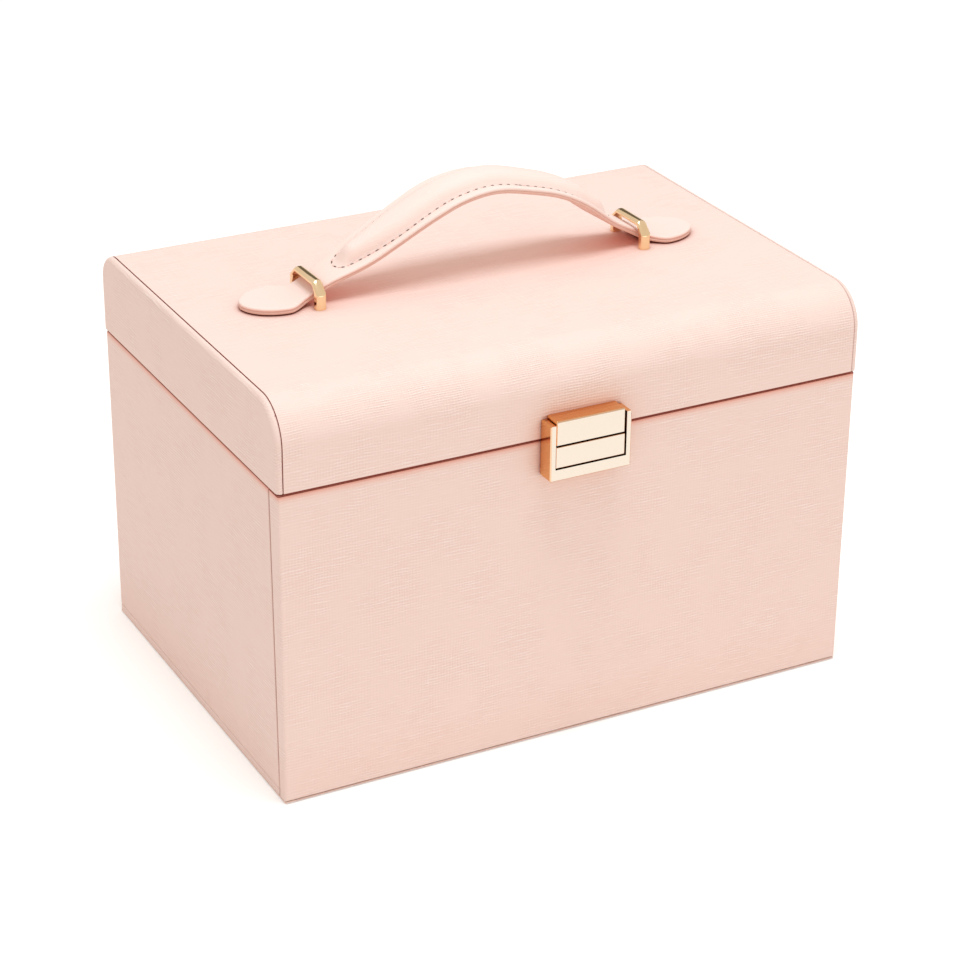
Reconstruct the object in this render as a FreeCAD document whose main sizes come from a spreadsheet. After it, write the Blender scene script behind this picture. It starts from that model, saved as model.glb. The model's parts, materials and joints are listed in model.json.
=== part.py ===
import FreeCAD, Part
import math
import os
import Sketcher
from FreeCAD import Placement, Rotation, Vector

# Drawer jewellery box with a carrying handle, in millimetres.
# X runs left to right, Y from front to back, Z up, and the origin is the middle of the base.
# A lid with a mirror swings up at the back, a front flap folds down on its foot, and two drawers
# slide out over a lower bay. The handle is a padded strap that bends over two metal loops.

# Driving dimensions: one named cell each, with what it measures.
SIZES = (
    ("case_width", 260.0, "outside of the case, side to side"),
    ("case_depth", 180.0, "outside of the case, front to back"),
    ("seam_height", 136.0, "middle of the seam between case and lid"),
    ("seam_gap", 0.8, "open height of that seam"),
    ("lid_height", 36.0, "lid top above the middle of the seam"),
    ("side_wall", 5.0, "side board of the case"),
    ("back_wall", 5.0, "back board of the case"),
    ("sheet_thick", 0.6, "leatherette sheet under the case"),
    ("base_thick", 3.2, "base board, seen as a strip under the side wall"),
    ("edge_round", 1.0, "wrapped edge of a board"),
    ("flap_top", 9.0, "front flap with its lining, at the top"),
    ("flap_foot", 6.0, "front flap with its lining, at the foot"),
    ("flap_lining", 0.8, "suede on the inside of the flap"),
    ("lining_edge", 3.0, "bare edge round that suede"),
    ("lining_top_edge", 10.2, "bare edge above that suede"),
    ("flap_gap", 0.4, "gap between the flap and the case"),
    ("fit_gap", 0.25, "gap beside a drawer or a loose board"),
    ("lid_overhang", 0.6, "lid past the case, on every side"),
    ("lid_skin", 4.0, "wrapped board of the lid"),
    ("lid_side", 4.6, "side panel of the lid"),
    ("lid_front_round", 17.0, "front top edge of the lid"),
    ("lid_back_round", 12.0, "back top edge of the lid"),
    ("lid_side_round", 2.2, "padded outer edge of a lid side panel"),
    ("lid_seam", 0.3, "seam between lid cover and side panel"),
    ("screw_space", 1.5, "hollow under the lid cover, for screw heads"),
    ("lining_board", 2.5, "lining board inside the lid"),
    ("mirror_width", 202.0, "mirror glass"),
    ("mirror_depth", 126.0, "mirror glass"),
    ("mirror_thick", 2.8, "mirror glass"),
    ("mirror_lip", 3.0, "frame over the edge of the glass"),
    ("mirror_frame_width", 11.0, "face of the mirror frame"),
    ("mirror_face", 1.6, "frame in front of the glass"),
    ("bay_height", 54.0, "clear height of the lower bay"),
    ("shelf_thick", 3.0, "board between bay and drawers"),
    ("drawer_space", 40.0, "clear height of the drawer row"),
    ("tray_floor_thick", 2.8, "board under the top tray"),
    ("tray_drop", 2.6, "top of the tray below the rim of the case"),
    ("tray_wall", 3.0, "wall of the top tray"),
    ("divider_thick", 2.6, "suede divider"),
    ("divider_drop", 7.0, "tray dividers below the top of the tray"),
    ("ring_zone", 78.0, "width of the ring rolls"),
    ("middle_zone", 82.0, "width of the middle tray compartments"),
    ("ring_roll_count", 7.0, "number of ring rolls"),
    ("ring_roll_height", 24.0, "ring roll"),
    ("ring_roll_gap", 0.4, "slit between two ring rolls"),
    ("ring_roll_crown", 8.0, "crown of a ring roll above its upright sides"),
    ("ring_roll_end", 1.6, "bevel at the ends of a ring roll"),
    ("rail_height", 13.0, "front rail of the lower bay"),
    ("rail_thick", 3.6, "front rail of the lower bay"),
    ("bay_divider_height", 40.0, "divider in the lower bay"),
    ("bay_divider_place", 41.0, "bay divider from the middle"),
    ("partition_thick", 3.0, "board between the drawers"),
    ("drawer_height", 37.0, "drawer front"),
    ("drawer_setback", 18.0, "drawer front behind the front of the case"),
    ("drawer_front", 4.0, "drawer front board"),
    ("drawer_side", 2.6, "drawer side board"),
    ("drawer_floor", 2.0, "drawer floor"),
    ("drawer_side_drop", 5.0, "drawer sides below the drawer front's top"),
    ("drawer_divider_drop", 2.0, "drawer dividers below the drawer's sides"),
    ("drawer_back_gap", 3.0, "space behind a drawer"),
    ("drawer_cell_place", 88.0, "cross divider behind the drawer front"),
    ("pull_radius", 5.2, "head of the drawer pull"),
    ("pull_face", 3.2, "flat face of that head"),
    ("pull_bevel", 1.6, "bevel from that face to the rim"),
    ("pull_head", 4.4, "head from its face to the neck"),
    ("pull_neck", 2.2, "neck of the drawer pull"),
    ("pull_reach", 8.0, "drawer pull in front of the drawer"),
    ("pull_screw", 1.2, "screw of the drawer pull"),
    ("hinge_place", 52.0, "middle of a lid hinge from the side of the case"),
    ("hinge_width", 36.0, "lid hinge"),
    ("hinge_leaf", 1.2, "leaf of the lid hinge"),
    ("hinge_leaf_height", 18.0, "leaf of the lid hinge"),
    ("knuckle_radius", 2.2, "knuckle of the lid hinge"),
    ("knuckle_gap", 0.3, "gap beside a knuckle"),
    ("hinge_pin_radius", 1.0, "pin of the lid hinge"),
    ("pin_play", 0.05, "running clearance round a pin or screw"),
    ("magnet_radius", 4.0, "disc magnet"),
    ("magnet_thick", 1.6, "disc magnet"),
    ("magnet_place", 30.0, "magnet from the side of the case"),
    ("magnet_height", 15.4, "magnet above the floor of the tray"),
    ("lock_width", 36.4, "outside of the lock frame"),
    ("lock_low", 15.0, "foot of the lock frame below the seam"),
    ("lock_high", 9.0, "top of the lock frame's arms above the seam"),
    ("lock_reach", 9.0, "face of the lock in front of the flap"),
    ("lock_side", 2.3, "side bar of the lock frame"),
    ("lock_bottom", 5.0, "bottom bar of the lock frame"),
    ("lock_round", 0.5, "edges of the lock"),
    ("lock_gap", 0.4, "gap round the button and the strike"),
    ("lock_stand_off", 1.0, "lock arms in front of the flap"),
    ("strike_high", 10.4, "top of the strike plate above the seam"),
    ("plate_set_back", 0.4, "button and strike behind the frame's face"),
    ("button_thick", 3.6, "push button"),
    ("tongue_width", 10.0, "tongue of the strike"),
    ("tongue_drop", 6.0, "tongue below the strike"),
    ("tongue_thick", 0.8, "tongue of the strike"),
    ("tongue_window", 2.3, "window in the tongue, for the catch"),
    ("tongue_edge", 1.15, "metal below that window"),
    ("notch_side", 2.0, "notch in the flap beside the tongue"),
    ("spring_reach", 3.9, "half of a button spring, from its crown to the end of a foot"),
    ("spring_crown", 0.9, "half of the crown of a button spring"),
    ("spring_foot", 1.1, "foot of a button spring"),
    ("spring_width", 4.0, "strip of a button spring"),
    ("spring_thick", 0.3, "strip of a button spring"),
    ("spring_place", 1.5, "button spring above the foot of the button"),
    ("lock_screw_place", 9.0, "lock screw from the middle"),
    ("lock_screw_radius", 1.0, "lock screw"),
    ("lock_screw_tip", 3.45, "tip of a lock screw behind the face of the frame"),
    ("bore_spare", 0.6, "bore past the tip of a screw"),
    ("screw_head", 2.3, "screw head radius"),
    ("screw_head_thick", 1.2, "screw head"),
    ("loop_spacing", 150.0, "handle loops, middle to middle"),
    ("loop_width", 27.5, "outside of a loop, along the bar"),
    ("loop_leg", 3.2, "leg of a loop"),
    ("loop_strip", 4.4, "loop along the box"),
    ("loop_height", 11.4, "loop above the lid"),
    ("loop_bar", 2.0, "bar of a loop"),
    ("loop_corner", 5.0, "cut across an outer corner of a loop"),
    ("loop_inner_corner", 2.0, "cut across an inner corner of a loop"),
    ("loop_facet", 1.1, "bevel along a loop"),
    ("loop_screw_bite", 5.7, "thread in the leg of a loop"),
    ("handle_back", 2.0, "middle of the handle behind the middle of the lid"),
    ("strap_thick", 2.8, "flat edge of the strap"),
    ("grip_width", 24.0, "strap at the grip"),
    ("neck_width", 16.8, "strap in the loops"),
    ("pad_width", 15.0, "padded middle of the strap"),
    ("pad_height", 5.0, "padding above the flat edge"),
    ("pad_end", 8.5, "end of the padding from the bend in a loop"),
    ("pad_ramp", 7.0, "length over which the padding rises"),
    ("neck_padding", 0.12, "crown that is left of the padding in a loop"),
    ("arch_height", 37.8, "middle of the strap above the lid, at its peak"),
    ("arch_peak", 9.0, "peak of the strap from the middle, as it leans in the picture"),
    ("arch_radius", 66.0, "curve of the grip"),
    ("neck_height", 6.6, "middle of the strap above the lid, where it bends inside a loop"),
    ("neck_place", 3.0, "that bend from the middle of the loop"),
    ("neck_slope", 30.0, "slope of the strap outside a loop, in degrees"),
    ("neck_bend", 12.0, "bend from that slope to the flat tab"),
    ("tab_width", 26.0, "flared end of the strap"),
    ("tab_length", 32.5, "flared end, from that bend to its tip"),
    ("tab_corner", 16.5, "round end of the flared end, along the strap"),
    ("neck_straight", 1.2, "straight neck past a loop"),
    ("tab_lift", 0.5, "tab above the lid"),
    ("joint_gap", 0.35, "gap in the strap where it bends"),
    ("bend_round", 0.25, "round of such a bend, past the faces of the strap"),
)

doc = FreeCAD.newDocument("jewellery_box")
sheet = doc.addObject("Spreadsheet::Sheet", "Sizes")
for row, (alias, number, note) in enumerate(SIZES, start=1):
    sheet.set("A%d" % row, alias)
    sheet.set("B%d" % row, str(number))
    sheet.setAlias("B%d" % row, alias)
    sheet.set("C%d" % row, note)
doc.recompute()


class Size:
    """A length that keeps its formula, so that a property can be bound to the sheet."""

    def __init__(self, number, text):
        self.number = float(number)
        self.text = text

    def __add__(self, other):
        other = size_of(other)
        return Size(self.number + other.number, "(%s + %s)" % (self.text, other.text))

    def __sub__(self, other):
        other = size_of(other)
        return Size(self.number - other.number, "(%s - %s)" % (self.text, other.text))

    def __mul__(self, other):
        other = size_of(other)
        return Size(self.number * other.number, "(%s * %s)" % (self.text, other.text))

    def __truediv__(self, other):
        other = size_of(other)
        return Size(self.number / other.number, "(%s / %s)" % (self.text, other.text))

    def __neg__(self):
        return Size(-self.number, "(0 - %s)" % self.text)

    def __float__(self):
        return self.number


def size_of(thing):
    if isinstance(thing, Size):
        return thing
    return Size(thing, repr(float(thing)))


class Sizes:
    """Reads a cell of the sheet by its alias."""

    def __getattr__(self, alias):
        return Size(getattr(sheet, alias), "Sizes." + alias)


S = Sizes()
ZERO = size_of(0)
SPARE = size_of(1)  # how far a cutting piece runs past what it cuts
NEAR = 0.01  # how close an edge lies to the place that is asked for


def root(size):
    return Size(math.sqrt(float(size)), "sqrt(%s)" % size.text)


# Places that several pieces share.
half_width = S.case_width / 2
half_depth = S.case_depth / 2
front = -half_depth
back = half_depth
case_top = S.seam_height - S.seam_gap / 2
lid_bottom = S.seam_height + S.seam_gap / 2
lid_top = S.seam_height + S.lid_height
lock_foot = S.seam_height - S.lock_low
lock_head = S.seam_height + S.lock_high
strike_top = S.seam_height + S.strike_high
base_top = S.sheet_thick + S.base_thick
inside_x = half_width - S.side_wall
inside_back = back - S.back_wall
flap_back_top = front + S.flap_top
flap_back_foot = front + S.flap_foot
inside_front = flap_back_top + S.flap_gap
shelf_low = base_top + S.bay_height
shelf_high = shelf_low + S.shelf_thick
drawer_roof = shelf_high + S.drawer_space
tray_base = drawer_roof + S.tray_floor_thick
tray_high = case_top - S.tray_drop
lid_front = front - S.lid_overhang
lid_back = back + S.lid_overhang
lid_half_width = half_width + S.lid_overhang
lining_high = lid_top - S.lid_skin - S.screw_space
lining_low = lining_high - S.lining_board

hinge_x = half_width - S.hinge_place
magnet_x = half_width - S.magnet_place
magnet_z = tray_base + S.magnet_height

pieces = []


def keep(thing, label):
    """Names a finished sub-part and puts it on the list of those that are exported."""
    thing.Label = label
    pieces.append(thing)
    return thing


def bind(thing, path, size):
    thing.setExpression(path, size_of(size).text)


def block(name, x, y, z):
    """A box between two corners, each side a pair of low and high."""
    box = doc.addObject("Part::Box", name)
    for side, axis, (low, high) in (("Length", "x", x), ("Width", "y", y), ("Height", "z", z)):
        bind(box, side, size_of(high) - low)
        bind(box, "Placement.Base." + axis, low)
    return box


TURNS = {
    "x": Rotation(Vector(0, 1, 0), 90),
    "y": Rotation(Vector(1, 0, 0), -90),
    "z": Rotation(),
}


def rod(name, axis, radius, start, length):
    """A cylinder from a start point along a positive axis."""
    cylinder = doc.addObject("Part::Cylinder", name)
    cylinder.Placement.Rotation = TURNS[axis]
    bind(cylinder, "Radius", radius)
    bind(cylinder, "Height", length)
    for letter, place in zip("xyz", start):
        bind(cylinder, "Placement.Base." + letter, place)
    return cylinder


def fused(name, things):
    whole = doc.addObject("Part::MultiFuse", name)
    whole.Shapes = things
    whole.Refine = True
    return whole


def cut(name, base, tools):
    """Takes the tools away from the base."""
    result = doc.addObject("Part::Cut", name)
    result.Base = base
    result.Tool = tools[0] if len(tools) == 1 else fused(name + "_tools", tools)
    result.Refine = True
    return result


def group(name, things):
    """Like pieces that share a node, as separate solids."""
    whole = doc.addObject("Part::Compound", name)
    whole.Links = things
    return whole


def new_body(label):
    return keep(doc.addObject("PartDesign::Body", label), label)


def sketch(body, role, offset=ZERO):
    """An empty sketch on one of the body's own planes, moved along that plane's normal."""
    plane = next(f for f in body.Origin.OriginFeatures if f.Role == role)
    result = body.newObject("Sketcher::SketchObject", body.Name + "_sketch")
    result.AttachmentSupport = (plane, [""])
    result.MapMode = "FlatFace"
    bind(result, "AttachmentOffset.Base.z", offset)
    return result


def outline(target, points):
    """A closed outline of straight lines, with every corner bound to the sheet."""
    corners = [Vector(float(u), float(v), 0) for u, v in points]
    count = len(corners)
    first = target.GeometryCount
    for index, corner in enumerate(corners):
        target.addGeometry(Part.LineSegment(corner, corners[(index + 1) % count]))
    for index in range(count):
        following = first + (index + 1) % count
        target.addConstraint(Sketcher.Constraint("Coincident", first + index, 2, following, 1))
    for index, (u, v) in enumerate(points):
        for kind, place in (("DistanceX", u), ("DistanceY", v)):
            rule = Sketcher.Constraint(kind, -1, 1, first + index, 1, float(place))
            number = target.addConstraint(rule)
            bind(target, "Constraints[%d]" % number, place)


def rectangle(target, u, v):
    outline(target, [(u[0], v[0]), (u[1], v[0]), (u[1], v[1]), (u[0], v[1])])


def circle(target, centre, radius):
    """A round hole or disc, with its middle and radius bound to the sheet."""
    u, v = centre
    middle = Vector(float(u), float(v), 0)
    ring = target.addGeometry(Part.Circle(middle, Vector(0, 0, 1), float(radius)))
    rules = (("DistanceX", u), ("DistanceY", v))
    for kind, place in rules:
        number = target.addConstraint(Sketcher.Constraint(kind, -1, 1, ring, 3, float(place)))
        bind(target, "Constraints[%d]" % number, place)
    number = target.addConstraint(Sketcher.Constraint("Radius", ring, float(radius)))
    bind(target, "Constraints[%d]" % number, radius)


def pad(body, profile, length, other_way=False):
    feature = body.newObject("PartDesign::Pad", body.Name + "_pad")
    feature.Profile = profile
    bind(feature, "Length", length)
    feature.Reversed = other_way
    doc.recompute()
    return feature


def pocket(body, profile, length, other_way=False):
    """Cuts a profile into the body, and makes sure that it did cut."""
    before = body.Shape.Volume
    feature = body.newObject("PartDesign::Pocket", body.Name + "_pocket")
    feature.Profile = profile
    bind(feature, "Length", length)
    feature.Reversed = other_way
    doc.recompute()
    if not body.Shape.Volume < before:
        raise RuntimeError("the pocket in %s cuts nothing" % body.Label)
    return feature


def edges_along(shape, axis, **places):
    """Names of the straight edges along an axis, whose middle lies at the given places."""
    direction = {"x": Vector(1, 0, 0), "y": Vector(0, 1, 0), "z": Vector(0, 0, 1)}[axis]
    names = []
    for number, edge in enumerate(shape.Edges, start=1):
        if edge.Curve.TypeId != "Part::GeomLine":
            continue
        if abs(abs(edge.tangentAt(edge.FirstParameter).dot(direction)) - 1) > 1e-6:
            continue
        middle = edge.CenterOfMass
        if all(abs(getattr(middle, k) - float(v)) < NEAR for k, v in places.items()):
            names.append("Edge%d" % number)
    if not names:
        raise RuntimeError("no edge along %s at %s" % (axis, places))
    return names


def rounded(body, feature, names, radius):
    """Rounds the named edges of the feature."""
    fillet = body.newObject("PartDesign::Fillet", body.Name + "_fillet")
    fillet.Base = (feature, names)
    bind(fillet, "Radius", radius)
    doc.recompute()
    return fillet


def bevelled(body, feature, names, size):
    """Bevels the named edges of the feature."""
    chamfer = body.newObject("PartDesign::Chamfer", body.Name + "_bevel")
    chamfer.Base = (feature, names)
    bind(chamfer, "Size", size)
    doc.recompute()
    return chamfer


def plain_piece(label, x, y, z):
    return keep(block(label, x, y, z), label)


def board(label, x, y, z, rounds=()):
    """A wrapped board: a padded rectangle with the named edges rounded."""
    body = new_body(label)
    profile = sketch(body, "XY_Plane", z[0])
    rectangle(profile, x, y)
    feature = pad(body, profile, size_of(z[1]) - z[0])
    names = []
    for axis, places in rounds:
        names += edges_along(feature.Shape, axis, **places)
    if names:
        rounded(body, feature, names, S.edge_round)
    return body


# Case: base, walls, shelf and partition.

def wall_front(height):
    """Front edge of a side wall at a height: it leans with the back of the flap."""
    rise = (size_of(height) - base_top) / (case_top - base_top)
    return flap_back_foot + S.flap_gap + rise * (S.flap_top - S.flap_foot)


def make_base():
    sheet_gap = S.flap_gap
    plain_piece("base_sheet", (-half_width, half_width), (front + sheet_gap, back), (ZERO, S.sheet_thick))
    board(
        "base_board",
        (-half_width, half_width),
        (wall_front(base_top), back),
        (S.sheet_thick, base_top),
        [("z", {"x": side, "y": back}) for side in (-half_width, half_width)],
    )


def make_side_wall(label, side):
    """A side board, with its front edge cut to the lean of the flap."""
    outer = half_width if side > 0 else -half_width
    low = inside_x if side > 0 else -half_width
    body = new_body(label)
    profile = sketch(body, "YZ_Plane", low)
    corners = [
        (wall_front(base_top), base_top),
        (back, base_top),
        (back, case_top),
        (wall_front(case_top), case_top),
    ]
    outline(profile, corners)
    feature = pad(body, profile, S.side_wall)
    names = edges_along(feature.Shape, "z", x=outer, y=back)
    names += edges_along(feature.Shape, "y", x=outer, z=case_top)
    rounded(body, feature, names, S.edge_round)


def make_case():
    make_base()
    make_side_wall("left_wall", -1)
    make_side_wall("right_wall", 1)
    across = (-inside_x, inside_x)
    board("back_wall", across, (inside_back, back), (base_top, case_top), [("x", {"y": back, "z": case_top})])
    deep = (inside_front, inside_back)
    board("shelf_board", across, deep, (shelf_low, shelf_high), [])
    half_partition = S.partition_thick / 2
    plain_piece("drawer_partition", (-half_partition, half_partition), deep, (shelf_high, drawer_roof))
    plain_piece("tray_floor", across, deep, (drawer_roof, tray_base))


# Lower bay: a front rail, a suede lining and two dividers.

def make_bay():
    across = (-inside_x, inside_x)
    rail_back = inside_front + S.rail_thick
    board(
        "bay_front_rail",
        across,
        (inside_front, rail_back),
        (base_top, base_top + S.rail_height),
        [("x", {"y": inside_front, "z": base_top + S.rail_height})],
    )
    outer = block("bay_lining_outside", across, (rail_back, inside_back), (base_top, shelf_low))
    thin = S.flap_lining
    inner = block(
        "bay_lining_inside",
        (-inside_x + thin, inside_x - thin),
        (rail_back - thin, inside_back - thin),
        (base_top + thin, shelf_low + thin),
    )
    keep(cut("bay_lining", outer, [inner]), "bay_lining")
    half_divider = S.divider_thick / 2
    deep = (rail_back + S.fit_gap, inside_back - thin - S.fit_gap)
    high = (base_top + thin, base_top + thin + S.bay_divider_height)
    dividers = []
    for side, place in (("left", -S.bay_divider_place), ("right", S.bay_divider_place)):
        across = (place - half_divider, place + half_divider)
        dividers.append(block("bay_divider_" + side, across, deep, high))
    for divider, side in zip(dividers, ("left", "right")):
        keep(divider, "bay_divider_" + side)


# Top tray: a suede frame with dividers and a bank of ring rolls.

ring_right = -inside_x + S.tray_wall + S.ring_zone
middle_right = ring_right + S.divider_thick + S.middle_zone
tray_inside_front = inside_front + S.tray_wall
tray_inside_back = inside_back - S.tray_wall
divider_high = tray_high - S.divider_drop


def make_tray():
    frame = block(
        "tray_outside", (-inside_x, inside_x), (inside_front, inside_back), (tray_base, tray_high)
    )
    well = block(
        "tray_inside",
        (-inside_x + S.tray_wall, inside_x - S.tray_wall),
        (tray_inside_front, tray_inside_back),
        (tray_base - SPARE, tray_high + SPARE),
    )
    rebates = []
    for side, place in (("left", -magnet_x), ("right", magnet_x)):
        name = "tray_magnet_hole_" + side
        start = (place, inside_front - SPARE, magnet_z)
        rebates.append(rod(name, "y", S.magnet_radius + S.pin_play, start, S.magnet_thick + SPARE))
    keep(cut("tray_frame", frame, [well] + rebates), "tray_frame")

    deep = (tray_inside_front, tray_inside_back)
    high = (tray_base, divider_high)
    bars = [
        block("tray_divider_rings", (ring_right, ring_right + S.divider_thick), deep, high),
        block("tray_divider_middle", (middle_right, middle_right + S.divider_thick), deep, high),
    ]
    tray_depth = tray_inside_back - tray_inside_front
    bars.append(cross_bar("tray_cross_middle", ring_right + S.divider_thick, middle_right, tray_depth / 2))
    right_edge = inside_x - S.tray_wall
    for number in (1, 2):
        name = "tray_cross_right_%d" % number
        bars.append(cross_bar(name, middle_right + S.divider_thick, right_edge, tray_depth * number / 3))
    keep(fused("tray_dividers", bars), "tray_dividers")

    count = int(float(S.ring_roll_count))
    pitch = tray_depth / S.ring_roll_count
    for number in range(count):
        make_ring_roll("ring_roll_%d" % (number + 1), tray_inside_front + pitch * number, pitch)


def cross_bar(name, low, high, place):
    """A tray divider from side to side, with its middle this far behind the tray's front wall."""
    middle = tray_inside_front + place
    half = S.divider_thick / 2
    return block(name, (low, high), (middle - half, middle + half), (tray_base, divider_high))


ROLL_FACETS = 8  # flat strips that make up the crown of a roll


def make_ring_roll(label, low, pitch):
    """A padded roll across the ring zone: flat below, with a round crown and bevelled ends."""
    body = new_body(label)
    left = -inside_x + S.tray_wall + S.ring_roll_gap
    right = ring_right - S.ring_roll_gap
    profile = sketch(body, "YZ_Plane", left)
    half = (pitch - S.ring_roll_gap) / 2
    middle = low + pitch / 2
    shoulder = tray_base + S.ring_roll_height - S.ring_roll_crown
    points = [(middle + half, tray_base), (middle - half, tray_base)]
    for number in range(ROLL_FACETS + 1):
        angle = math.pi * number / ROLL_FACETS
        points.append((middle - half * math.cos(angle), shoulder + S.ring_roll_crown * math.sin(angle)))
    outline(profile, points)
    feature = pad(body, profile, right - left)
    ends = []
    for number, edge in enumerate(feature.Shape.Edges, start=1):
        box = edge.BoundBox
        if box.XLength < NEAR and box.ZMax > float(tray_base) + NEAR:
            ends.append("Edge%d" % number)
    bevelled(body, feature, ends, S.ring_roll_end)


# Drawers: box, front, dividers and a pull, twice.

def make_drawer(side_name, side):
    low_gap = S.partition_thick / 2 + S.fit_gap
    high_gap = inside_x - S.fit_gap
    x = (low_gap, high_gap) if side > 0 else (-high_gap, -low_gap)
    foot = shelf_high + S.fit_gap
    front_y = front + S.drawer_setback
    box_front = front_y + S.drawer_front
    box_back = inside_back - S.drawer_back_gap
    top = foot + S.drawer_height
    box_top = top - S.drawer_side_drop
    label = "drawer_%s_" % side_name
    board(
        label + "front",
        x,
        (front_y, box_front),
        (foot, top),
        [("x", {"y": front_y, "z": top}), ("x", {"y": front_y, "z": foot})]
        + [("z", {"x": end, "y": front_y}) for end in x],
    )
    outside = block(label + "outside", x, (box_front, box_back), (foot, box_top))
    inside_low = x[0] + S.drawer_side
    inside_high = x[1] - S.drawer_side
    well = block(
        label + "well",
        (inside_low, inside_high),
        (box_front + S.drawer_side, box_back - S.drawer_side),
        (foot + S.drawer_floor, box_top + SPARE),
    )
    middle = (x[0] + x[1]) / 2
    pull_height = foot + S.drawer_height / 2
    screw_hole = rod(
        label + "box_hole",
        "y",
        S.pull_screw + S.pin_play,
        (middle, box_front - SPARE, pull_height),
        S.drawer_side + SPARE * 2,
    )
    keep(cut(label + "box", outside, [well, screw_hole]), label + "box")

    half = S.divider_thick / 2
    cell = box_front + S.drawer_cell_place
    divider_z = (foot + S.drawer_floor, box_top - S.drawer_divider_drop)
    bars = [
        block(
            label + "cross",
            (inside_low, inside_high),
            (cell - half, cell + half),
            divider_z,
        ),
        block(
            label + "length",
            (middle - half, middle + half),
            (cell, box_back - S.drawer_side),
            divider_z,
        ),
    ]
    keep(fused(label + "dividers", bars), label + "dividers")
    make_pull(label + "pull", middle, front_y, pull_height)
    drill_front(label + "front", middle, front_y, pull_height)


def drill_front(label, x, y, z):
    """The pull's screw hole through a drawer front."""
    body = next(piece for piece in pieces if piece.Label == label)
    profile = sketch(body, "XZ_Plane", -(y - SPARE))
    circle(profile, (x, z), S.pull_screw + S.pin_play)
    pocket(body, profile, S.drawer_front + SPARE * 2)


def make_pull(label, x, y, z):
    """A turned pull: a bevelled head on a neck, with its screw through the front."""
    body = new_body(label)
    profile = sketch(body, "XY_Plane", z)
    face = y - S.pull_reach
    tail = y + S.drawer_front + S.drawer_side
    points = [
        (x, face),
        (x + S.pull_face, face),
        (x + S.pull_radius, face + S.pull_bevel),
        (x + S.pull_neck, face + S.pull_head),
        (x + S.pull_neck, y),
        (x + S.pull_screw, y),
        (x + S.pull_screw, tail),
        (x, tail),
    ]
    outline(profile, points)
    turned = body.newObject("PartDesign::Revolution", body.Name + "_turned")
    turned.Profile = profile
    turned.ReferenceAxis = (profile, ["Edge%d" % len(points)])
    turned.Angle = 360
    doc.recompute()


# Front flap: a tapered board with a lock, its magnets and a suede lining.

def flap_back(height, thin):
    """Back of the flap at a height, less what lies on it."""
    rise = (size_of(height) - base_top) / (case_top - base_top)
    return flap_back_foot - thin + rise * (S.flap_top - S.flap_foot)


flap_low = S.sheet_thick + S.flap_gap
screw_height = lock_foot + S.lock_bottom / 2
screw_seat = flap_back(screw_height, S.flap_lining) - S.screw_head_thick - S.fit_gap
magnet_seat = flap_back(magnet_z, S.flap_lining) - S.magnet_thick - S.fit_gap
half_notch = S.tongue_width / 2 + S.notch_side
notch_low = lid_bottom - S.tongue_drop - S.notch_side / 2


def make_flap():
    body = new_body("flap_board")
    profile = sketch(body, "YZ_Plane", -half_width)
    corners = [
        (front, flap_low),
        (flap_back(flap_low, S.flap_lining), flap_low),
        (flap_back(case_top, S.flap_lining), case_top),
        (front, case_top),
    ]
    outline(profile, corners)
    feature = pad(body, profile, S.case_width)
    names = edges_along(feature.Shape, "x", y=front)
    for side in (-half_width, half_width):
        names += edges_along(feature.Shape, "z", x=side, y=front)
    rounded(body, feature, names, S.edge_round)
    notch = sketch(body, "XZ_Plane", -(front - SPARE))
    rectangle(notch, (-half_notch, half_notch), (notch_low, case_top + SPARE))
    pocket(body, notch, S.flap_top + SPARE * 2)
    for side in (-1, 1):
        hole = sketch(body, "XZ_Plane", -magnet_seat)
        circle(hole, (magnet_x * side, magnet_z), S.magnet_radius + S.pin_play)
        pocket(body, hole, S.flap_top)
        for radius, start in (
            (S.lock_screw_radius + S.pin_play, front - SPARE),
            (S.screw_head + S.pin_play, screw_seat),
        ):
            bore = sketch(body, "XZ_Plane", -start)
            circle(bore, (S.lock_screw_place * side, screw_height), radius)
            pocket(body, bore, S.flap_top + SPARE * 2)

    lining = new_body("flap_lining")
    side = inside_x - S.lining_edge
    profile = sketch(lining, "YZ_Plane", -side)
    low = base_top + S.lining_edge
    high = case_top - S.lining_top_edge
    corners = [
        (flap_back(low, S.flap_lining), low),
        (flap_back(low, ZERO), low),
        (flap_back(high, ZERO), high),
        (flap_back(high, S.flap_lining), high),
    ]
    outline(profile, corners)
    pad(lining, profile, side * 2)


def make_magnets():
    for label, low in (("flap_magnets", magnet_seat + S.pin_play), ("case_magnets", inside_front)):
        discs = []
        for side, place in (("left", -magnet_x), ("right", magnet_x)):
            start = (place, low, magnet_z)
            discs.append(rod(label + "_" + side, "y", S.magnet_radius, start, S.magnet_thick))
        keep(group(label, discs), label)


# Lock: a frame and a sprung button on the flap, and a strike plate on the lid.

lock_face = front - S.lock_reach
half_lock = S.lock_width / 2
arm_inside = half_lock - S.lock_side
plate_half = arm_inside - S.lock_gap
plate_face = lock_face + S.plate_set_back
button_low = lock_foot + S.lock_bottom + S.lock_gap
tongue_front = front - S.lock_stand_off - S.tongue_thick


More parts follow.
